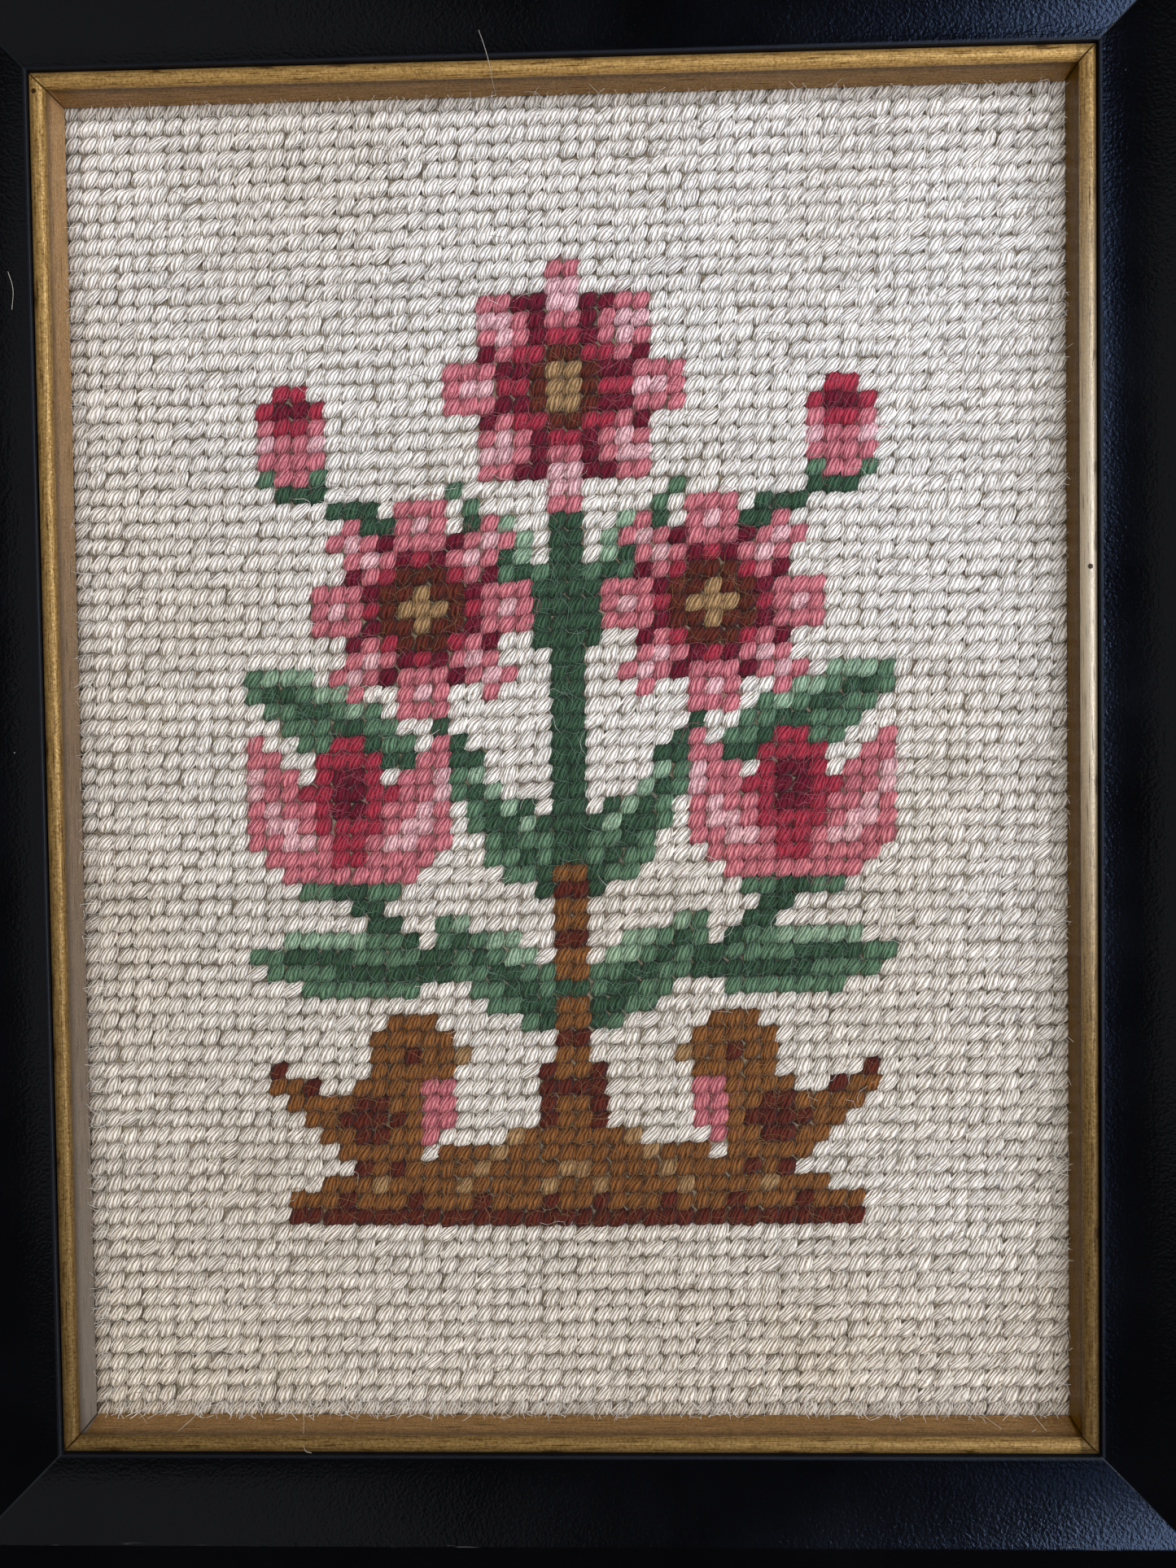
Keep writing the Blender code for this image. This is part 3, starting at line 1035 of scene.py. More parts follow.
@dataclass
class Chart:
    """Which wool each stitch takes, for a flowering tree that is its own mirror image.

    Places are in stitches: x from the middle of the picture, y in rows from the bottom.
    """

    columns: int
    rows: int
    cells: dict[tuple[int, int], Yarn] = field(default_factory=dict)

    def put(self, x: float, y: float, yarn: Yarn) -> None:
        """Set a stitch and its mirror image."""
        for side in (1, -1):
            self.cells[(round(side * x + (self.columns - 1) / 2), round(y))] = yarn

    def stem(self, start: Pair, bend: Pair, end: Pair, steps: int = 80) -> None:
        """Draw a curved stem one stitch wide."""
        for step in range(steps + 1):
            t = step / steps
            x, y = (
                (1 - t) ** 2 * start[axis] + 2 * t * (1 - t) * bend[axis] + t * t * end[axis]
                for axis in (0, 1)
            )
            self.put(math.floor(x) + 0.5, y, Yarn.FOREST)

    def right_half(self) -> list[Pair]:
        """Return the places of the stitches right of the middle."""
        return [(column + 0.5, row) for column in range(self.columns // 2) for row in range(self.rows)]

    def leaf(self, base: Pair, tip: Pair, width: float) -> None:
        """Draw a pointed leaf with a dark rib and a light upper edge."""
        run = (tip[0] - base[0], tip[1] - base[1])
        length = math.hypot(*run)
        for x, y in self.right_half():
            along = ((x - base[0]) * run[0] + (y - base[1]) * run[1]) / length ** 2
            across = ((x - base[0]) * run[1] - (y - base[1]) * run[0]) / length
            if not 0 <= along <= 1:
                continue
            half = width / 2 * math.sin(math.pi * along ** 0.8) ** 0.8
            if abs(across) > half:
                continue
            yarn = Yarn.SAGE
            if abs(across) < 0.5 and along < 0.8:
                yarn = Yarn.FOREST
            elif across < -0.5 * half and along > 0.35:
                yarn = Yarn.MIST
            self.put(x, y, yarn)

    def rosette(self, middle: Pair, radius: float, petals: int) -> None:
        """Draw a round open flower with a dark eye and light petal tips."""
        for x, y in self.right_half():
            off = (x - middle[0], y - middle[1])
            share = math.hypot(*off) / radius
            lobe = math.cos(petals * math.atan2(*off))
            if share > 0.9 + 0.12 * lobe:
                continue
            yarn = Yarn.PINK
            if share < 0.2:
                yarn = Yarn.TAN
            elif share < 0.34:
                yarn = Yarn.UMBER
            elif lobe < -0.55:
                yarn = Yarn.WINE if share < 0.8 else Yarn.ROSE
            elif share < 0.5:
                yarn = Yarn.ROSE
            elif lobe > 0.55 and 0.62 < share < 0.88:
                yarn = Yarn.BLUSH
            self.put(x, y, yarn)

    def figure(self, rows: tuple[str, ...], outer: float, bottom: int) -> None:
        """Draw a figure from its whole chart, starting at its outer edge."""
        for drop, marks in enumerate(rows):
            for place, mark in enumerate(marks):
                if mark != ".":
                    self.put(outer - place, bottom + len(rows) - 1 - drop, MARKS[mark])

    def flower(self, half_rows: tuple[str, ...], middle: float, bottom: int) -> None:
        """Draw a flower from the chart of its outer half, over its own middle line."""
        whole = tuple(marks + marks[::-1] for marks in half_rows)
        self.figure(whole, middle + len(half_rows[0]) - 0.5, bottom)

    def mound(self, bottom: int, half_widths: tuple[int, ...]) -> None:
        """Draw the brown mound that the tree grows from."""
        for rise, half in enumerate(half_widths):
            for place in range(half):
                yarn = Yarn.BROWN
                if rise == 0 or (rise == 1 and place % 4 == 1):
                    yarn = Yarn.UMBER
                elif rise > 1 and (place + rise) % 5 == 3:
                    yarn = Yarn.TAN
                self.put(place + 0.5, bottom + rise, yarn)

    def trunk(self, bottom: int, top: int) -> None:
        """Draw the brown trunk, wider at its foot."""
        for y in range(bottom, top):
            self.put(0.5, y, Yarn.BROWN if y % 3 else Yarn.UMBER)
            if y < bottom + 4:
                self.put(1.5, y, Yarn.UMBER)

    def draw(self) -> None:
        """Draw the whole design."""
        self.mound(13, (17, 17, 15, 12, 8, 4))
        self.trunk(19, 36)
        self.stem((0.5, 35), (0.5, 45), (0.5, 57))
        self.stem((0.5, 27), (7, 26), (13, 33))
        self.stem((0.5, 37), (7, 38), (8, 47))
        self.stem((0.5, 47), (4, 52), (15, 57))
        self.leaf((1, 25), (8, 31.5), 4.2)
        self.leaf((8, 28), (19, 29), 4.4)
        self.leaf((1, 33), (7, 41), 3.6)
        self.leaf((9, 40.5), (19.5, 46.5), 4.4)
        self.leaf((1, 49.5), (6.5, 57), 3.2)
        self.flower(TULIP, 13, 33)
        self.rosette((8.5, 50), 6.6, 8)
        self.rosette((0, 63), 7.2, 8)
        self.flower(BUD, 16, 57)
        self.figure(BIRD, 17.5, 16)


@dataclass(frozen=True)
class StitchShape:
    """One tent stitch: a plump, leaning bundle of plies whose ends dive into the canvas.

    Its ends are level, so the stitches of a row join into a band and the rows stay apart.
    """

    length: float = 3.14 * MM
    width: float = 3.12 * MM
    height: float = 1.4 * MM
    lean_deg: float = 71.0
    plies: int = 4
    groove: float = 0.1
    twist: float = 0.1
    bluntness: float = 2.7
    squareness: float = 0.76
    dip: float = 0.3 * MM
    wobble: float = 0.04 * MM
    points_per_ply: int = 3
    ring_places: tuple[float, ...] = (-0.93, -0.68, -0.25, 0.25, 0.68, 0.93)

    def squared(self, share: float) -> float:
        """Return a sine or cosine drawn out towards a square, with its sign kept."""
        return math.copysign(abs(share) ** self.squareness, share)

    def mesh(self, name: str, chance: random.Random) -> Mesh:
        """Return the stitch leaning to the right, closed, with its UV map and its painted shade.

        Args:
            name: the mesh's name.
            chance: where the small differences between stitches come from.

        Returns:
            The mesh, whose attribute of painted shade is 0 where shade is painted darkest, in the grooves,
            and 1 on a crest.
        """
        around = self.plies * self.points_per_ply + 1
        fatness = [1 + chance.uniform(-0.09, 0.09) for _ in range(self.plies + 1)]
        lean = 1 / math.tan(math.radians(self.lean_deg))
        reach = self.length / 2
        points: list[Triple] = [(-reach * lean, -reach, -self.dip)]
        painted_shades = [0.0]
        marks = [(0.5, 0.0)]
        for place in self.ring_places:
            girth = (1 - abs(place) ** self.bluntness) ** 0.5
            sway = chance.uniform(-1, 1) * self.wobble
            for index in range(around):
                share = index / (around - 1)
                spread = 0.5 * math.pi * share + 0.5 * math.acos(1 - 2 * share)
                turn = spread - self.twist * place
                lobe = abs(math.sin(math.pi * self.plies * share))
                ply = fatness[min(int(share * self.plies), self.plies - 1)]
                swell = girth * ply * (1 - self.groove * (1 - lobe))
                points.append((
                    self.width / 2 * self.squared(math.cos(turn)) * swell + sway + reach * place * lean,
                    reach * place,
                    self.height * self.squared(math.sin(turn)) * swell - self.dip * abs(place) ** 3,
                ))
                # Painted shade kept on each point: darkest in the grooves between plies, on the flanks and
                # towards the ends, where the stitch dives into the canvas.
                flank = min(1.0, 1.7 * math.sin(math.pi * share))
                painted_shades.append(0.12 + 0.88 * girth ** 1.5 * flank * (0.5 + 0.5 * lobe))
                marks.append(((1 - math.cos(spread)) / 2, (place + 1) / 2))
        points.append((reach * lean, reach, -self.dip))
        painted_shades.append(0.0)
        marks.append((0.5, 1.0))
        mesh = bpy.data.meshes.new(name)
        mesh.from_pydata(points, [], self.faces(around, len(points)))
        mesh.update()
        mesh.attributes.new("depth", "FLOAT", "POINT").data.foreach_set("value", painted_shades)
        layer = mesh.uv_layers.new(name=UV_NAME)
        for loop in mesh.loops:
            layer.data[loop.index].uv = marks[loop.vertex_index]
        mesh.shade_smooth()
        return mesh

    def faces(self, around: int, count: int) -> list[tuple[int, ...]]:
        """Return the faces between the rings and the two tips, facing outwards."""
        made: list[tuple[int, ...]] = []
        for ring in range(len(self.ring_places) - 1):
            start = 1 + ring * around
            for index in range(around):
                after = (index + 1) % around
                made.append((start + index, start + index + around, start + after + around, start + after))
        last = 1 + (len(self.ring_places) - 1) * around
        for index in range(around):
            after = (index + 1) % around
            made.append((0, 1 + index, 1 + after))
            made.append((count - 1, last + after, last + index))
        return made


@dataclass(frozen=True)
class StitchKind:
    """A family of stitch shapes, and how far they differ in lean, twist and groove."""

    name: str
    shape: StitchShape
    lean_spread: float
    twists: Pair
    grooves: Pair
    count: int = 6

    def meshes(self, chance: random.Random) -> list[Mesh]:
        """Return the family's shapes."""
        made = []
        for index in range(self.count):
            lean = self.shape.lean_deg + chance.uniform(-self.lean_spread, self.lean_spread)
            twist, groove = chance.uniform(*self.twists), chance.uniform(*self.grooves)
            shape = replace(self.shape, lean_deg=lean, twist=twist, groove=groove)
            made.append(shape.mesh(f"{self.name}_stitch_{index}", chance))
        return made


NEAT = StitchKind("neat", StitchShape(), 3, (-0.1, 0.2), (0.08, 0.16))
LOOSE = StitchKind(
    "loose",
    StitchShape(
        length=3.2 * MM, width=3.2 * MM, height=1.34 * MM, lean_deg=66.0, bluntness=2.6, squareness=0.74,
        wobble=0.12 * MM,
    ),
    4, (-0.05, 0.4), (0.14, 0.3),
)
COLOURED = StitchKind(
    "coloured",
    StitchShape(length=3.28 * MM, width=3.04 * MM, height=1.45 * MM, lean_deg=73.0, bluntness=2.8),
    4, (-0.1, 0.3), (0.12, 0.24),
)


def scatter_tree() -> NodeTree:
    """Make the tree that sets a stitch or a hair on every point, each turned and sized a little apart."""
    given = new_tree("scatter", {
        "Templates": "Collection", "Slant Jitter": "Float", "Size Jitter": "Float", "Seed": "Int",
        "Finish": "Material",
    })
    add = partial(add_node, given.tree)
    parts = {"Collection": given.of("Templates"), "Separate Children": True, "Reset Children": True}
    shapes = add("GeometryNodeCollectionInfo", parts)
    kind = add("GeometryNodeInputNamedAttribute", {"Name": "kind"}, data_type="INT")
    slant, tip, stretch = (
        add("GeometryNodeInputNamedAttribute", {"Name": name}, data_type="FLOAT")
        for name in ("slant", "tip", "stretch")
    )
    jitter, seed, uneven = given.of("Slant Jitter"), given.of("Seed"), given.of("Size Jitter")
    tilts = {"Min": jitter * -1, "Max": jitter, "Seed": seed}
    tilt = add("FunctionNodeRandomValue", tilts, data_type="FLOAT")
    euler = add("ShaderNodeCombineXYZ", {"Y": tip, "Z": slant + tilt})
    smallest, largest = (
        add("ShaderNodeCombineXYZ", dict.fromkeys("XYZ", limit)) for limit in (1 - uneven, uneven + 1)
    )
    sizes = {"Min": smallest, "Max": largest, "Seed": seed}
    size = add("FunctionNodeRandomValue", sizes, data_type="FLOAT_VECTOR")
    placed = add("GeometryNodeInstanceOnPoints", {
        "Points": given, "Instance": shapes, "Pick Instance": True, "Instance Index": kind,
        "Scale": add("ShaderNodeVectorMath", {"Vector": size, "Scale": stretch}, operation="SCALE"),
        "Rotation": add("FunctionNodeEulerToRotation", {"Euler": euler}),
    })
    real = add("GeometryNodeRealizeInstances", {"Geometry": placed})
    return close_tree(add("GeometryNodeSetMaterial", {"Geometry": real, "Material": given.of("Finish")}))


@dataclass
class Points:
    """Where stitches or hairs go, with what the scatter tree needs to know of each."""

    places: list[Vector] = field(default_factory=list)
    kinds: list[int] = field(default_factory=list)
    numbers: dict[str, list[float]] = field(default_factory=dict)

    def add(self, place: Vector, **numbers: float) -> None:
        """Add one point with its numbers; its kind is drawn apart."""
        self.places.append(place)
        for name, value in numbers.items():
            self.numbers.setdefault(name, []).append(value)

    def mesh(self, name: str) -> Mesh:
        """Return the points as a mesh that carries what is known of each."""
        mesh = bpy.data.meshes.new(name)
        mesh.from_pydata([tuple(place) for place in self.places], [], [])
        mesh.attributes.new("kind", "INT", "POINT").data.foreach_set("value", self.kinds)
        for label, values in self.numbers.items():
            mesh.attributes.new(label, "FLOAT", "POINT").data.foreach_set("value", values)
        return mesh


def new_templates(name: str, meshes: list[Mesh]) -> Collection:
    """Return a collection of template objects for a tree to pick from, in their order."""
    group = bpy.data.collections.new(name)
    bpy.context.scene.collection.children.link(group)
    for index, mesh in enumerate(meshes):
        group.objects.link(bpy.data.objects.new(f"{name}_{index:02d}", mesh))
    return group


def drop_templates(group: Collection) -> None:
    """Remove a collection of templates and its objects."""
    for template in list(group.objects):
        bpy.data.objects.remove(template, do_unlink=True)
    bpy.data.collections.remove(group)


@dataclass
class Needlework:
    """The canvas, stretched over its board, and the wool worked on it."""

    opening: Opening
    node: str = "needlework"
    board: str = "backing_board"
    column_pitch: float = 2.54 * MM
    row_pitch: float = 2.468 * MM
    columns: int = 60
    rows: int = 82
    canvas_rise: float = 1.35 * MM
    sink: float = 0.05 * MM
    swell: float = 0.12 * MM
    swell_across: float = 96 * MM
    swell_along: float = 71 * MM
    row_wander: float = 0.35 * MM
    wander_across: float = 118 * MM
    wander_along: float = 153 * MM
    place_jitter: float = 0.08 * MM
    looser_to_right: float = 0.6
    patch_across: float = 17 * MM
    patch_along: float = 23 * MM
    stitch_slant_deg: float = 5.5
    stitch_size_jitter: float = 0.065
    ground_bands: int = 4
    ground_hairs: float = 0.6
    coloured_hairs: float = 2.3
    edge_hair_spacing: float = 0.8 * MM
    straw_share: float = 0.35
    hair_kinds: int = 12
    hair_length_mm: Pair = (1.8, 5.4)
    hair_lift_mm: Pair = (0.05, 0.4)
    hair_radius_mm: Pair = (0.02, 0.034)
    hair_bow: float = 0.3
    hair_curl: float = 0.15
    hair_rise_mm: Pair = (1.05, 1.4)
    edge_hair_inset_mm: Pair = (0.9, 1.9)
    edge_hair_rise_mm: Pair = (1.2, 2.2)
    edge_hair_turn: float = 1.2
    edge_hair_tip: Pair = (0.3, 1.3)
    hair_slant: float = 0.2
    hair_size_jitter: float = 0.25
    seed: int = 4

    def __post_init__(self) -> None:
        """Read the panel's size from the node and start the random numbers."""
        low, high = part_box(self.node)
        self.width = high[0] - low[0]
        self.height = high[1] - low[1]
        self.base = low[2]
        self.face = self.base + self.canvas_rise
        self.chance = random.Random(self.seed)
        self.chart = Chart(self.columns, self.rows)
        self.chart.draw()
        self.tree = scatter_tree()

    def yarn_at(self, column: int, row: int) -> Yarn:
        """Return the wool of a stitch."""
        return self.chart.cells.get((column, row), Yarn.GROUND)

    def stitch_place(self, column: int, row: int) -> Vector:
        """Return the middle of a stitch on the canvas, whose rows wander and whose face swells."""
        across = (column - (self.columns - 1) / 2) * self.column_pitch
        along = (row - (self.rows - 1) / 2) * self.row_pitch
        turn = 2 * math.pi * across / self.wander_across + math.pi * along / self.wander_along
        wander = self.row_wander * math.sin(turn) * math.cos(math.pi * along / self.height)
        swell = self.swell * math.cos(math.tau * (across / self.swell_across + along / self.swell_along))
        return Vector((across, along + wander, self.face - self.sink + swell))

    def canvas(self) -> Object:
        """Return the canvas with the wool on its back, one closed sheet."""
        half_x, half_y = self.width / 2, self.height / 2
        corners = [(-half_x, -half_y), (half_x, -half_y), (half_x, half_y), (-half_x, half_y)]
        points = [(x, y, z) for z in (self.base, self.face) for x, y in corners]
        faces = [(3, 2, 1, 0), (4, 5, 6, 7)]
        faces += [(step, (step + 1) % 4, (step + 1) % 4 + 4, step + 4) for step in range(4)]
        mesh = bpy.data.meshes.new("canvas")
        mesh.from_pydata(points, [], faces)
        mesh.materials.append(CanvasFinish(self.column_pitch, self.row_pitch).build())
        return settle(link_mesh("canvas", mesh), CLOTH_SLOT, self.node)

    def stitch_groups(self) -> dict[str, tuple[Yarn, list[tuple[int, int]]]]:
        """Return the stitches of each piece: the ground in bands of rows, then each wool."""
        groups: dict[str, tuple[Yarn, list[tuple[int, int]]]] = {}
        band_rows = math.ceil(self.rows / self.ground_bands)
        for row in range(self.rows):
            for column in range(self.columns):
                yarn = self.yarn_at(column, row)
                name = f"wool_{yarn.word}"
                if yarn is Yarn.GROUND:
                    name = f"{name}_{row // band_rows + 1}"
                groups.setdefault(name, (yarn, []))[1].append((column, row))
        return groups

    def looseness(self, place: Vector) -> float:
        """Return how loosely the wool lies at a place, from 0 to 1: looser to the right."""
        across = place.x / self.width + 0.5
        wave = math.sin(place.x / self.patch_across + 1.3) * math.cos(place.y / self.patch_along)
        return min(max(0.05 + self.looser_to_right * across + 0.25 * wave, 0.0), 1.0)

    def stitch_kind(self, yarn: Yarn, loose: float) -> int:
        """Draw which template a stitch takes."""
        kind = self.chance.randrange(NEAT.count)
        if yarn is not Yarn.GROUND:
            return NEAT.count + LOOSE.count + self.chance.randrange(COLOURED.count)
        if self.chance.random() < loose:
            return NEAT.count + self.chance.randrange(LOOSE.count)
        return kind

    def stitches(self) -> list[Object]:
        """Return all the stitches, one piece for each wool and band of ground."""
        meshes = [mesh for kind in (NEAT, LOOSE, COLOURED) for mesh in kind.meshes(self.chance)]
        templates = new_templates("stitch", meshes)
        row_shades = [self.chance.uniform(0.3, 0.7) for _ in range(self.rows)]
        made = []
        for name, (yarn, cells) in self.stitch_groups().items():
            points = Points()
            for column, row in cells:
                place = self.stitch_place(column, row)
                loose = self.looseness(place)
                place.x += self.chance.gauss(0, self.place_jitter)
                place.y += self.chance.gauss(0, self.place_jitter)
                points.kinds.append(self.stitch_kind(yarn, loose))
                shade = row_shades[row] + self.chance.uniform(-0.3, 0.3)
                points.add(place, stretch=0.97 + 0.06 * loose, shade=min(max(shade, 0.0), 1.0))
            piece = run_tree(name, points.mesh(name), self.tree, {
                "Templates": templates, "Slant Jitter": math.radians(self.stitch_slant_deg),
                "Size Jitter": self.stitch_size_jitter, "Seed": self.seed,
                "Finish": WoolFinish(yarn, self.opening.half_width, self.opening.half_height).build(),
            })
            made.append(settle(piece, CLOTH_SLOT))
        drop_templates(templates)
        return made

    def hair_templates(self) -> Collection:
        """Return a few loose hairs: thin bowed threads with three sides."""
        meshes = []
        for index in range(self.hair_kinds):
            length = self.chance.uniform(*self.hair_length_mm) * MM
            bow = self.chance.uniform(-self.hair_bow, self.hair_bow) * length
            curl = self.chance.uniform(-self.hair_curl, self.hair_curl) * length
            lift = self.chance.uniform(*self.hair_lift_mm) * MM
            radius = self.chance.uniform(*self.hair_radius_mm) * MM
            route = []
            for share in (0.0, 0.25, 0.5, 0.75, 1.0):
                hump = math.sin(math.pi * share)
                side = bow * hump + curl * math.sin(2 * math.pi * share)
                route.append(Vector((length * (share - 0.5), side, lift * hump)))
            meshes.append(thread_mesh(f"hair_{index}", route, radius, 3))
        return new_templates("hair", meshes)

    def hairs_on_stitches(self, clouds: dict[Halo, Points]) -> None:
        """Strew hairs over the stitches, lying any way: some of the ground's are dry and brown."""
        for row in range(2, self.rows - 2):
            for column in range(2, self.columns - 2):
                yarn = self.yarn_at(column, row)
                wanted = self.ground_hairs if yarn is Yarn.GROUND else self.coloured_hairs
                for _ in range(math.floor(wanted + self.chance.random())):
                    place = self.stitch_place(column, row)
                    place.x += self.chance.uniform(-0.5, 0.5) * self.column_pitch
                    place.y += self.chance.uniform(-0.5, 0.5) * self.row_pitch
                    place.z += self.chance.uniform(*self.hair_rise_mm) * MM
                    dry = yarn is Yarn.GROUND and self.chance.random() < self.straw_share
                    family = Halo.STRAW if dry else yarn.value[2]
                    turn = self.chance.uniform(0, math.tau)
                    clouds[family].add(place, slant=turn, tip=0.0, stretch=1.0)

    def hairs_at_edges(self, cloud: Points) -> None:
        """Stand hairs up against the foot of the slip, where the stitches were rubbed."""
        for side in Side:
            half_run, edge = self.opening.run_and_edge(side)
            outward = math.radians(side.value)
            crowding = 2 if side is Side.BOTTOM else 1
            for _ in range(round(2 * half_run * crowding / self.edge_hair_spacing)):
                along = self.chance.uniform(-half_run, half_run) * 0.985
                inset = edge - self.chance.uniform(*self.edge_hair_inset_mm) * MM
                place = Vector((
                    inset * math.cos(outward) - along * math.sin(outward),
                    inset * math.sin(outward) + along * math.cos(outward),
                    self.face + self.chance.uniform(*self.edge_hair_rise_mm) * MM,
                ))
                turn = outward + self.chance.uniform(-self.edge_hair_turn, self.edge_hair_turn)
                tip = -self.chance.uniform(*self.edge_hair_tip)
                cloud.add(place, slant=turn, tip=tip, stretch=1.0)

    def halo(self) -> list[Object]:
        """Return the loose hairs that stand off the stitches, one piece for each family."""
        templates = self.hair_templates()
        clouds = {family: Points() for family in Halo}
        self.hairs_on_stitches(clouds)
        self.hairs_at_edges(clouds[Halo.GROUND])
        made = []
        for family, points in clouds.items():
            points.kinds = [self.chance.randrange(self.hair_kinds) for _ in points.places]
            piece = run_tree(f"wool_halo_{family.word}", points.mesh(f"halo_{family.word}"), self.tree, {
                "Templates": templates, "Slant Jitter": self.hair_slant,
                "Size Jitter": self.hair_size_jitter, "Seed": self.seed,
                "Finish": HairFinish(family.word, family.value).build(),
            })
            made.append(settle(piece, CLOTH_SLOT))
        drop_templates(templates)
        return made

    def build(self) -> None:
        canvas = self.canvas()
        worked = self.stitches() + self.halo()


def thread_mesh(name: str, route: list[Vector], radius: float, sides: int) -> Mesh:
    """Return a closed thin tube along a route.

    Args:
        name: the mesh's name.
        route: the points of the middle line.
        radius: half the thread's thickness.
        sides: how many sides the tube has.

    Returns:
        The mesh.
    """
    points: list[Vector] = []
    for index, place in enumerate(route):
        ahead = route[min(index + 1, len(route) - 1)] - route[max(index - 1, 0)]
        ahead.normalize()
        level = Vector((0, 0, 1)).cross(ahead).normalized()
        upright = ahead.cross(level)
        for side in range(sides):
            turn = math.tau * side / sides
            points.append(place + radius * (math.cos(turn) * level + math.sin(turn) * upright))
    faces: list[tuple[int, ...]] = []
    for start in range(0, len(points) - sides, sides):
        for side in range(sides):
            after = (side + 1) % sides
            faces.append((start + side, start + after, start + after + sides, start + side + sides))
    faces.append(tuple(reversed(range(sides))))
    faces.append(tuple(range(len(points) - sides, len(points))))
    mesh = bpy.data.meshes.new(name)
    mesh.from_pydata(points, [], faces)
    mesh.shade_smooth()
    return mesh


@dataclass
class Lint:
    """Long stray wool fibres that lie over the slip and the moulding."""

    radius: float = 0.032 * MM
    points_between: int = 8
    routes_mm: tuple[tuple[Triple, ...], ...] = (
        ((-42.4, -92.5, 9.4), (-41.0, -96.6, 11.5), (-39.8, -99.4, 17.3), (-38.7, -100.2, 17.4)),
        (
            (-10.8, 104.2, 17.7), (-10.1, 102.2, 17.6), (-9.4, 99.6, 17.4), (-9.1, 97.6, 15.6),
            (-8.9, 96.6, 11.0),
        ),
        ((-79.0, 72.0, 17.8), (-78.4, 69.5, 17.6), (-78.6, 66.6, 17.7)),
        ((70.8, 58.0, 9.2), (73.6, 59.7, 12.5), (74.9, 60.4, 17.2)),
        ((71.4, 50.4, 9.1), (73.4, 51.7, 11.0), (74.0, 50.9, 13.0)),
        (
            (-70.5, -93.0, 9.4), (-66.0, -97.2, 10.2), (-61.5, -99.0, 15.8), (-58.0, -97.4, 12.6),
            (-54.5, -94.0, 9.4),
        ),
        ((57.0, -94.6, 9.2), (61.0, -97.5, 11.4), (64.5, -98.6, 14.8), (67.4, -98.0, 13.2)),
        ((66.0, -95.0, 9.2), (69.0, -98.3, 13.6), (72.2, -99.4, 16.6)),
        ((-5.0, 95.2, 9.3), (-2.0, 98.6, 12.4), (2.6, 98.9, 14.2), (6.0, 97.2, 10.2)),
        ((38.0, 96.0, 9.2), (41.5, 98.4, 12.2), (45.0, 99.0, 15.0)),
    )

    def route(self, stops: tuple[Triple, ...]) -> list[Vector]:
        """Return a smooth line through given stops."""
        marks = [Vector(stop) * MM for stop in stops]
        ends = [2 * marks[0] - marks[1], *marks, 2 * marks[-1] - marks[-2]]
        line = []
        for index in range(1, len(ends) - 2):
            before, start, end, after = ends[index - 1:index + 3]
            for step in range(self.points_between):
                t = step / self.points_between
                line.append(0.5 * (
                    2 * start + (end - before) * t
                    + (2 * before - 5 * start + 4 * end - after) * t ** 2
                    + (3 * start - before - 3 * end + after) * t ** 3
                ))
        return [*line, marks[-1]]

    def build(self) -> None:
        """Build each stray fibre."""
        finish = HairFinish("stray", "#c4bba9").build()
        for index, stops in enumerate(self.routes_mm, start=1):
            mesh = thread_mesh(f"stray_fibre_{index:02d}", self.route(stops), self.radius, 5)
            mesh.materials.append(finish)
            settle(link_mesh(mesh.name, mesh), CLOTH_SLOT)


class Reach(Enum):
    """What a lamp lights: matt surfaces, or only what mirrors it."""

    SHADE = "diffuse"
    MIRROR = "glossy"


@dataclass(frozen=True)
class Lamp:
    """One soft light: where it stands, its size, strength and colour, and what it lights.

    It faces the middle of the part, or straight down when it is turned by an angle.
    """

    name: str
    place: Triple
    width: float
    height: float
    watts: float
    colour: str
    reach: Reach
    turn_deg: float | None = None

    def hang(self) -> None:
        """Hang the light in the studio."""
        light = bpy.data.lights.new(self.name, "AREA")
        light.shape = "RECTANGLE"
        light.size = self.width
        light.size_y = self.height
        light.energy = self.watts
        light.color = linear(self.colour)[:3]
        holder = bpy.data.objects.new(self.name, light)
        holder.location = self.place
        if self.turn_deg is None:
            holder.rotation_euler = (-Vector(self.place)).to_track_quat("-Z", "Y").to_euler()
        else:
            holder.rotation_euler.z = math.radians(self.turn_deg)
        holder.visible_glossy = self.reach is Reach.MIRROR
        holder.visible_diffuse = self.reach is Reach.SHADE
        bpy.context.scene.collection.objects.link(holder)


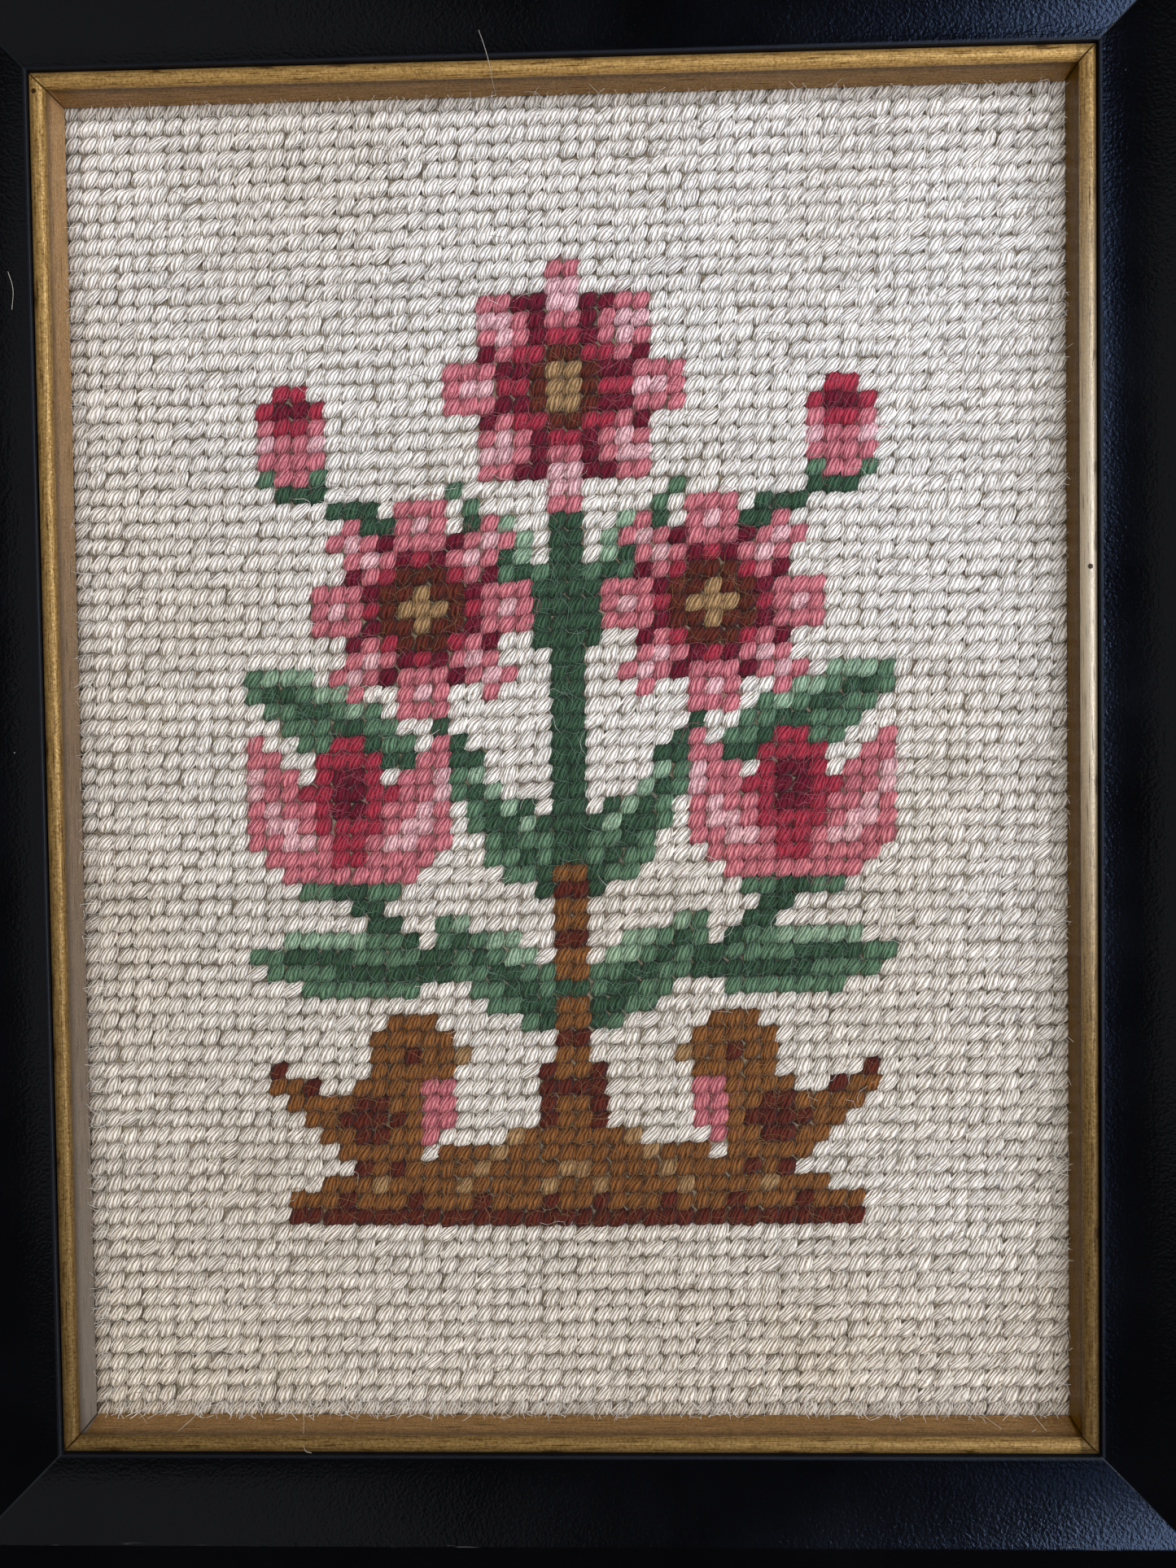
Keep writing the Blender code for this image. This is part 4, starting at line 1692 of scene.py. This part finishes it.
@dataclass
class Studio:
    """The floor, the lights and the camera."""

    camera_place_mm: Triple = (14.36, 8.70, 285.94)
    camera_turn_deg: Triple = (-2.43, 2.35, -0.79)
    focal_px: float = 2305.0
    photo_height_px: float = 1927.0
    sensor_mm: float = 36.0
    floor_half: float = 1.6
    light_bounces: int = 4
    air_colour: str = "#d8dade"
    air_strength: float = 0.028
    lamps: tuple[Lamp, ...] = (
        Lamp("window", (0.52, 0.10, 0.74), 0.55, 0.8, 6.5, "#e6edfd", Reach.SHADE),
        Lamp("ceiling", (-0.12, 0.08, 1.2), 1.2, 1.2, 20.0, "#f5f6f9", Reach.SHADE),
        Lamp("window_seen", (0.377, 0.078, 0.40), 0.408, 0.28, 2.3, "#9cbaee", Reach.MIRROR, turn_deg=6),
        Lamp("window_foot", (0.357, -0.147, 0.40), 0.41, 0.145, 0.16, "#8db5ff", Reach.MIRROR, turn_deg=0),
        Lamp("window_side", (0.15, 0.14, 0.40), 0.07, 0.10, 0.022, "#8db5ff", Reach.MIRROR, turn_deg=0),
        Lamp("window_low", (0.62, 0.03, 0.50), 0.5, 0.18, 4.2, "#f4f6fc", Reach.MIRROR),
        Lamp("room_seen", (-0.40, 0.05, 0.45), 0.5, 0.8, 0.26, "#e9ebf4", Reach.MIRROR),
    )

    def floor(self) -> None:
        """Lay the pale floor that the part rests on."""
        half = self.floor_half
        mesh = bpy.data.meshes.new("floor")
        corners = [(-half, -half, 0), (half, -half, 0), (half, half, 0), (-half, half, 0)]
        mesh.from_pydata(corners, [], [(0, 1, 2, 3)])
        mesh.materials.append(FloorFinish().build())
        link_mesh("floor", mesh)

    def camera(self) -> None:
        """Set the camera where the photograph was taken from."""
        lens = bpy.data.cameras.new("photo_view")
        lens.sensor_width = self.sensor_mm
        lens.lens = self.focal_px / self.photo_height_px * self.sensor_mm
        lens.clip_start = 0.01
        holder = bpy.data.objects.new("photo_view", lens)
        holder.location = Vector(self.camera_place_mm) * MM
        holder.rotation_euler = [math.radians(turn) for turn in self.camera_turn_deg]
        bpy.context.scene.collection.objects.link(holder)
        bpy.context.scene.camera = holder

    def build(self) -> None:
        """Build the studio, with pale surroundings."""
        self.floor()
        for lamp in self.lamps:
            lamp.hang()
        world = bpy.data.worlds.new("studio")
        world.use_nodes = True
        background = world.node_tree.nodes["Background"]
        background.inputs["Color"].default_value = linear(self.air_colour)
        background.inputs["Strength"].default_value = self.air_strength
        bpy.context.scene.world = world
        self.camera()
        bpy.context.scene.view_settings.view_transform = "Standard"
        bpy.context.scene.cycles.max_bounces = self.light_bounces


def main() -> None:
    """Build every piece in order."""
    logging.basicConfig(level=logging.INFO, format="%(message)s")
    opening = Opening.from_frame()
    Studio().build()
    lengths = MitredFrame(opening, mitred_length_tree())
    GiltSlip(lengths, foot=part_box("slip_top")[0][2]).build()
    Moulding(lengths).build()
    BackingBoard().dress()
    Needlework(opening).build()
    Lint().build()


if __name__ == "__main__":
    main()
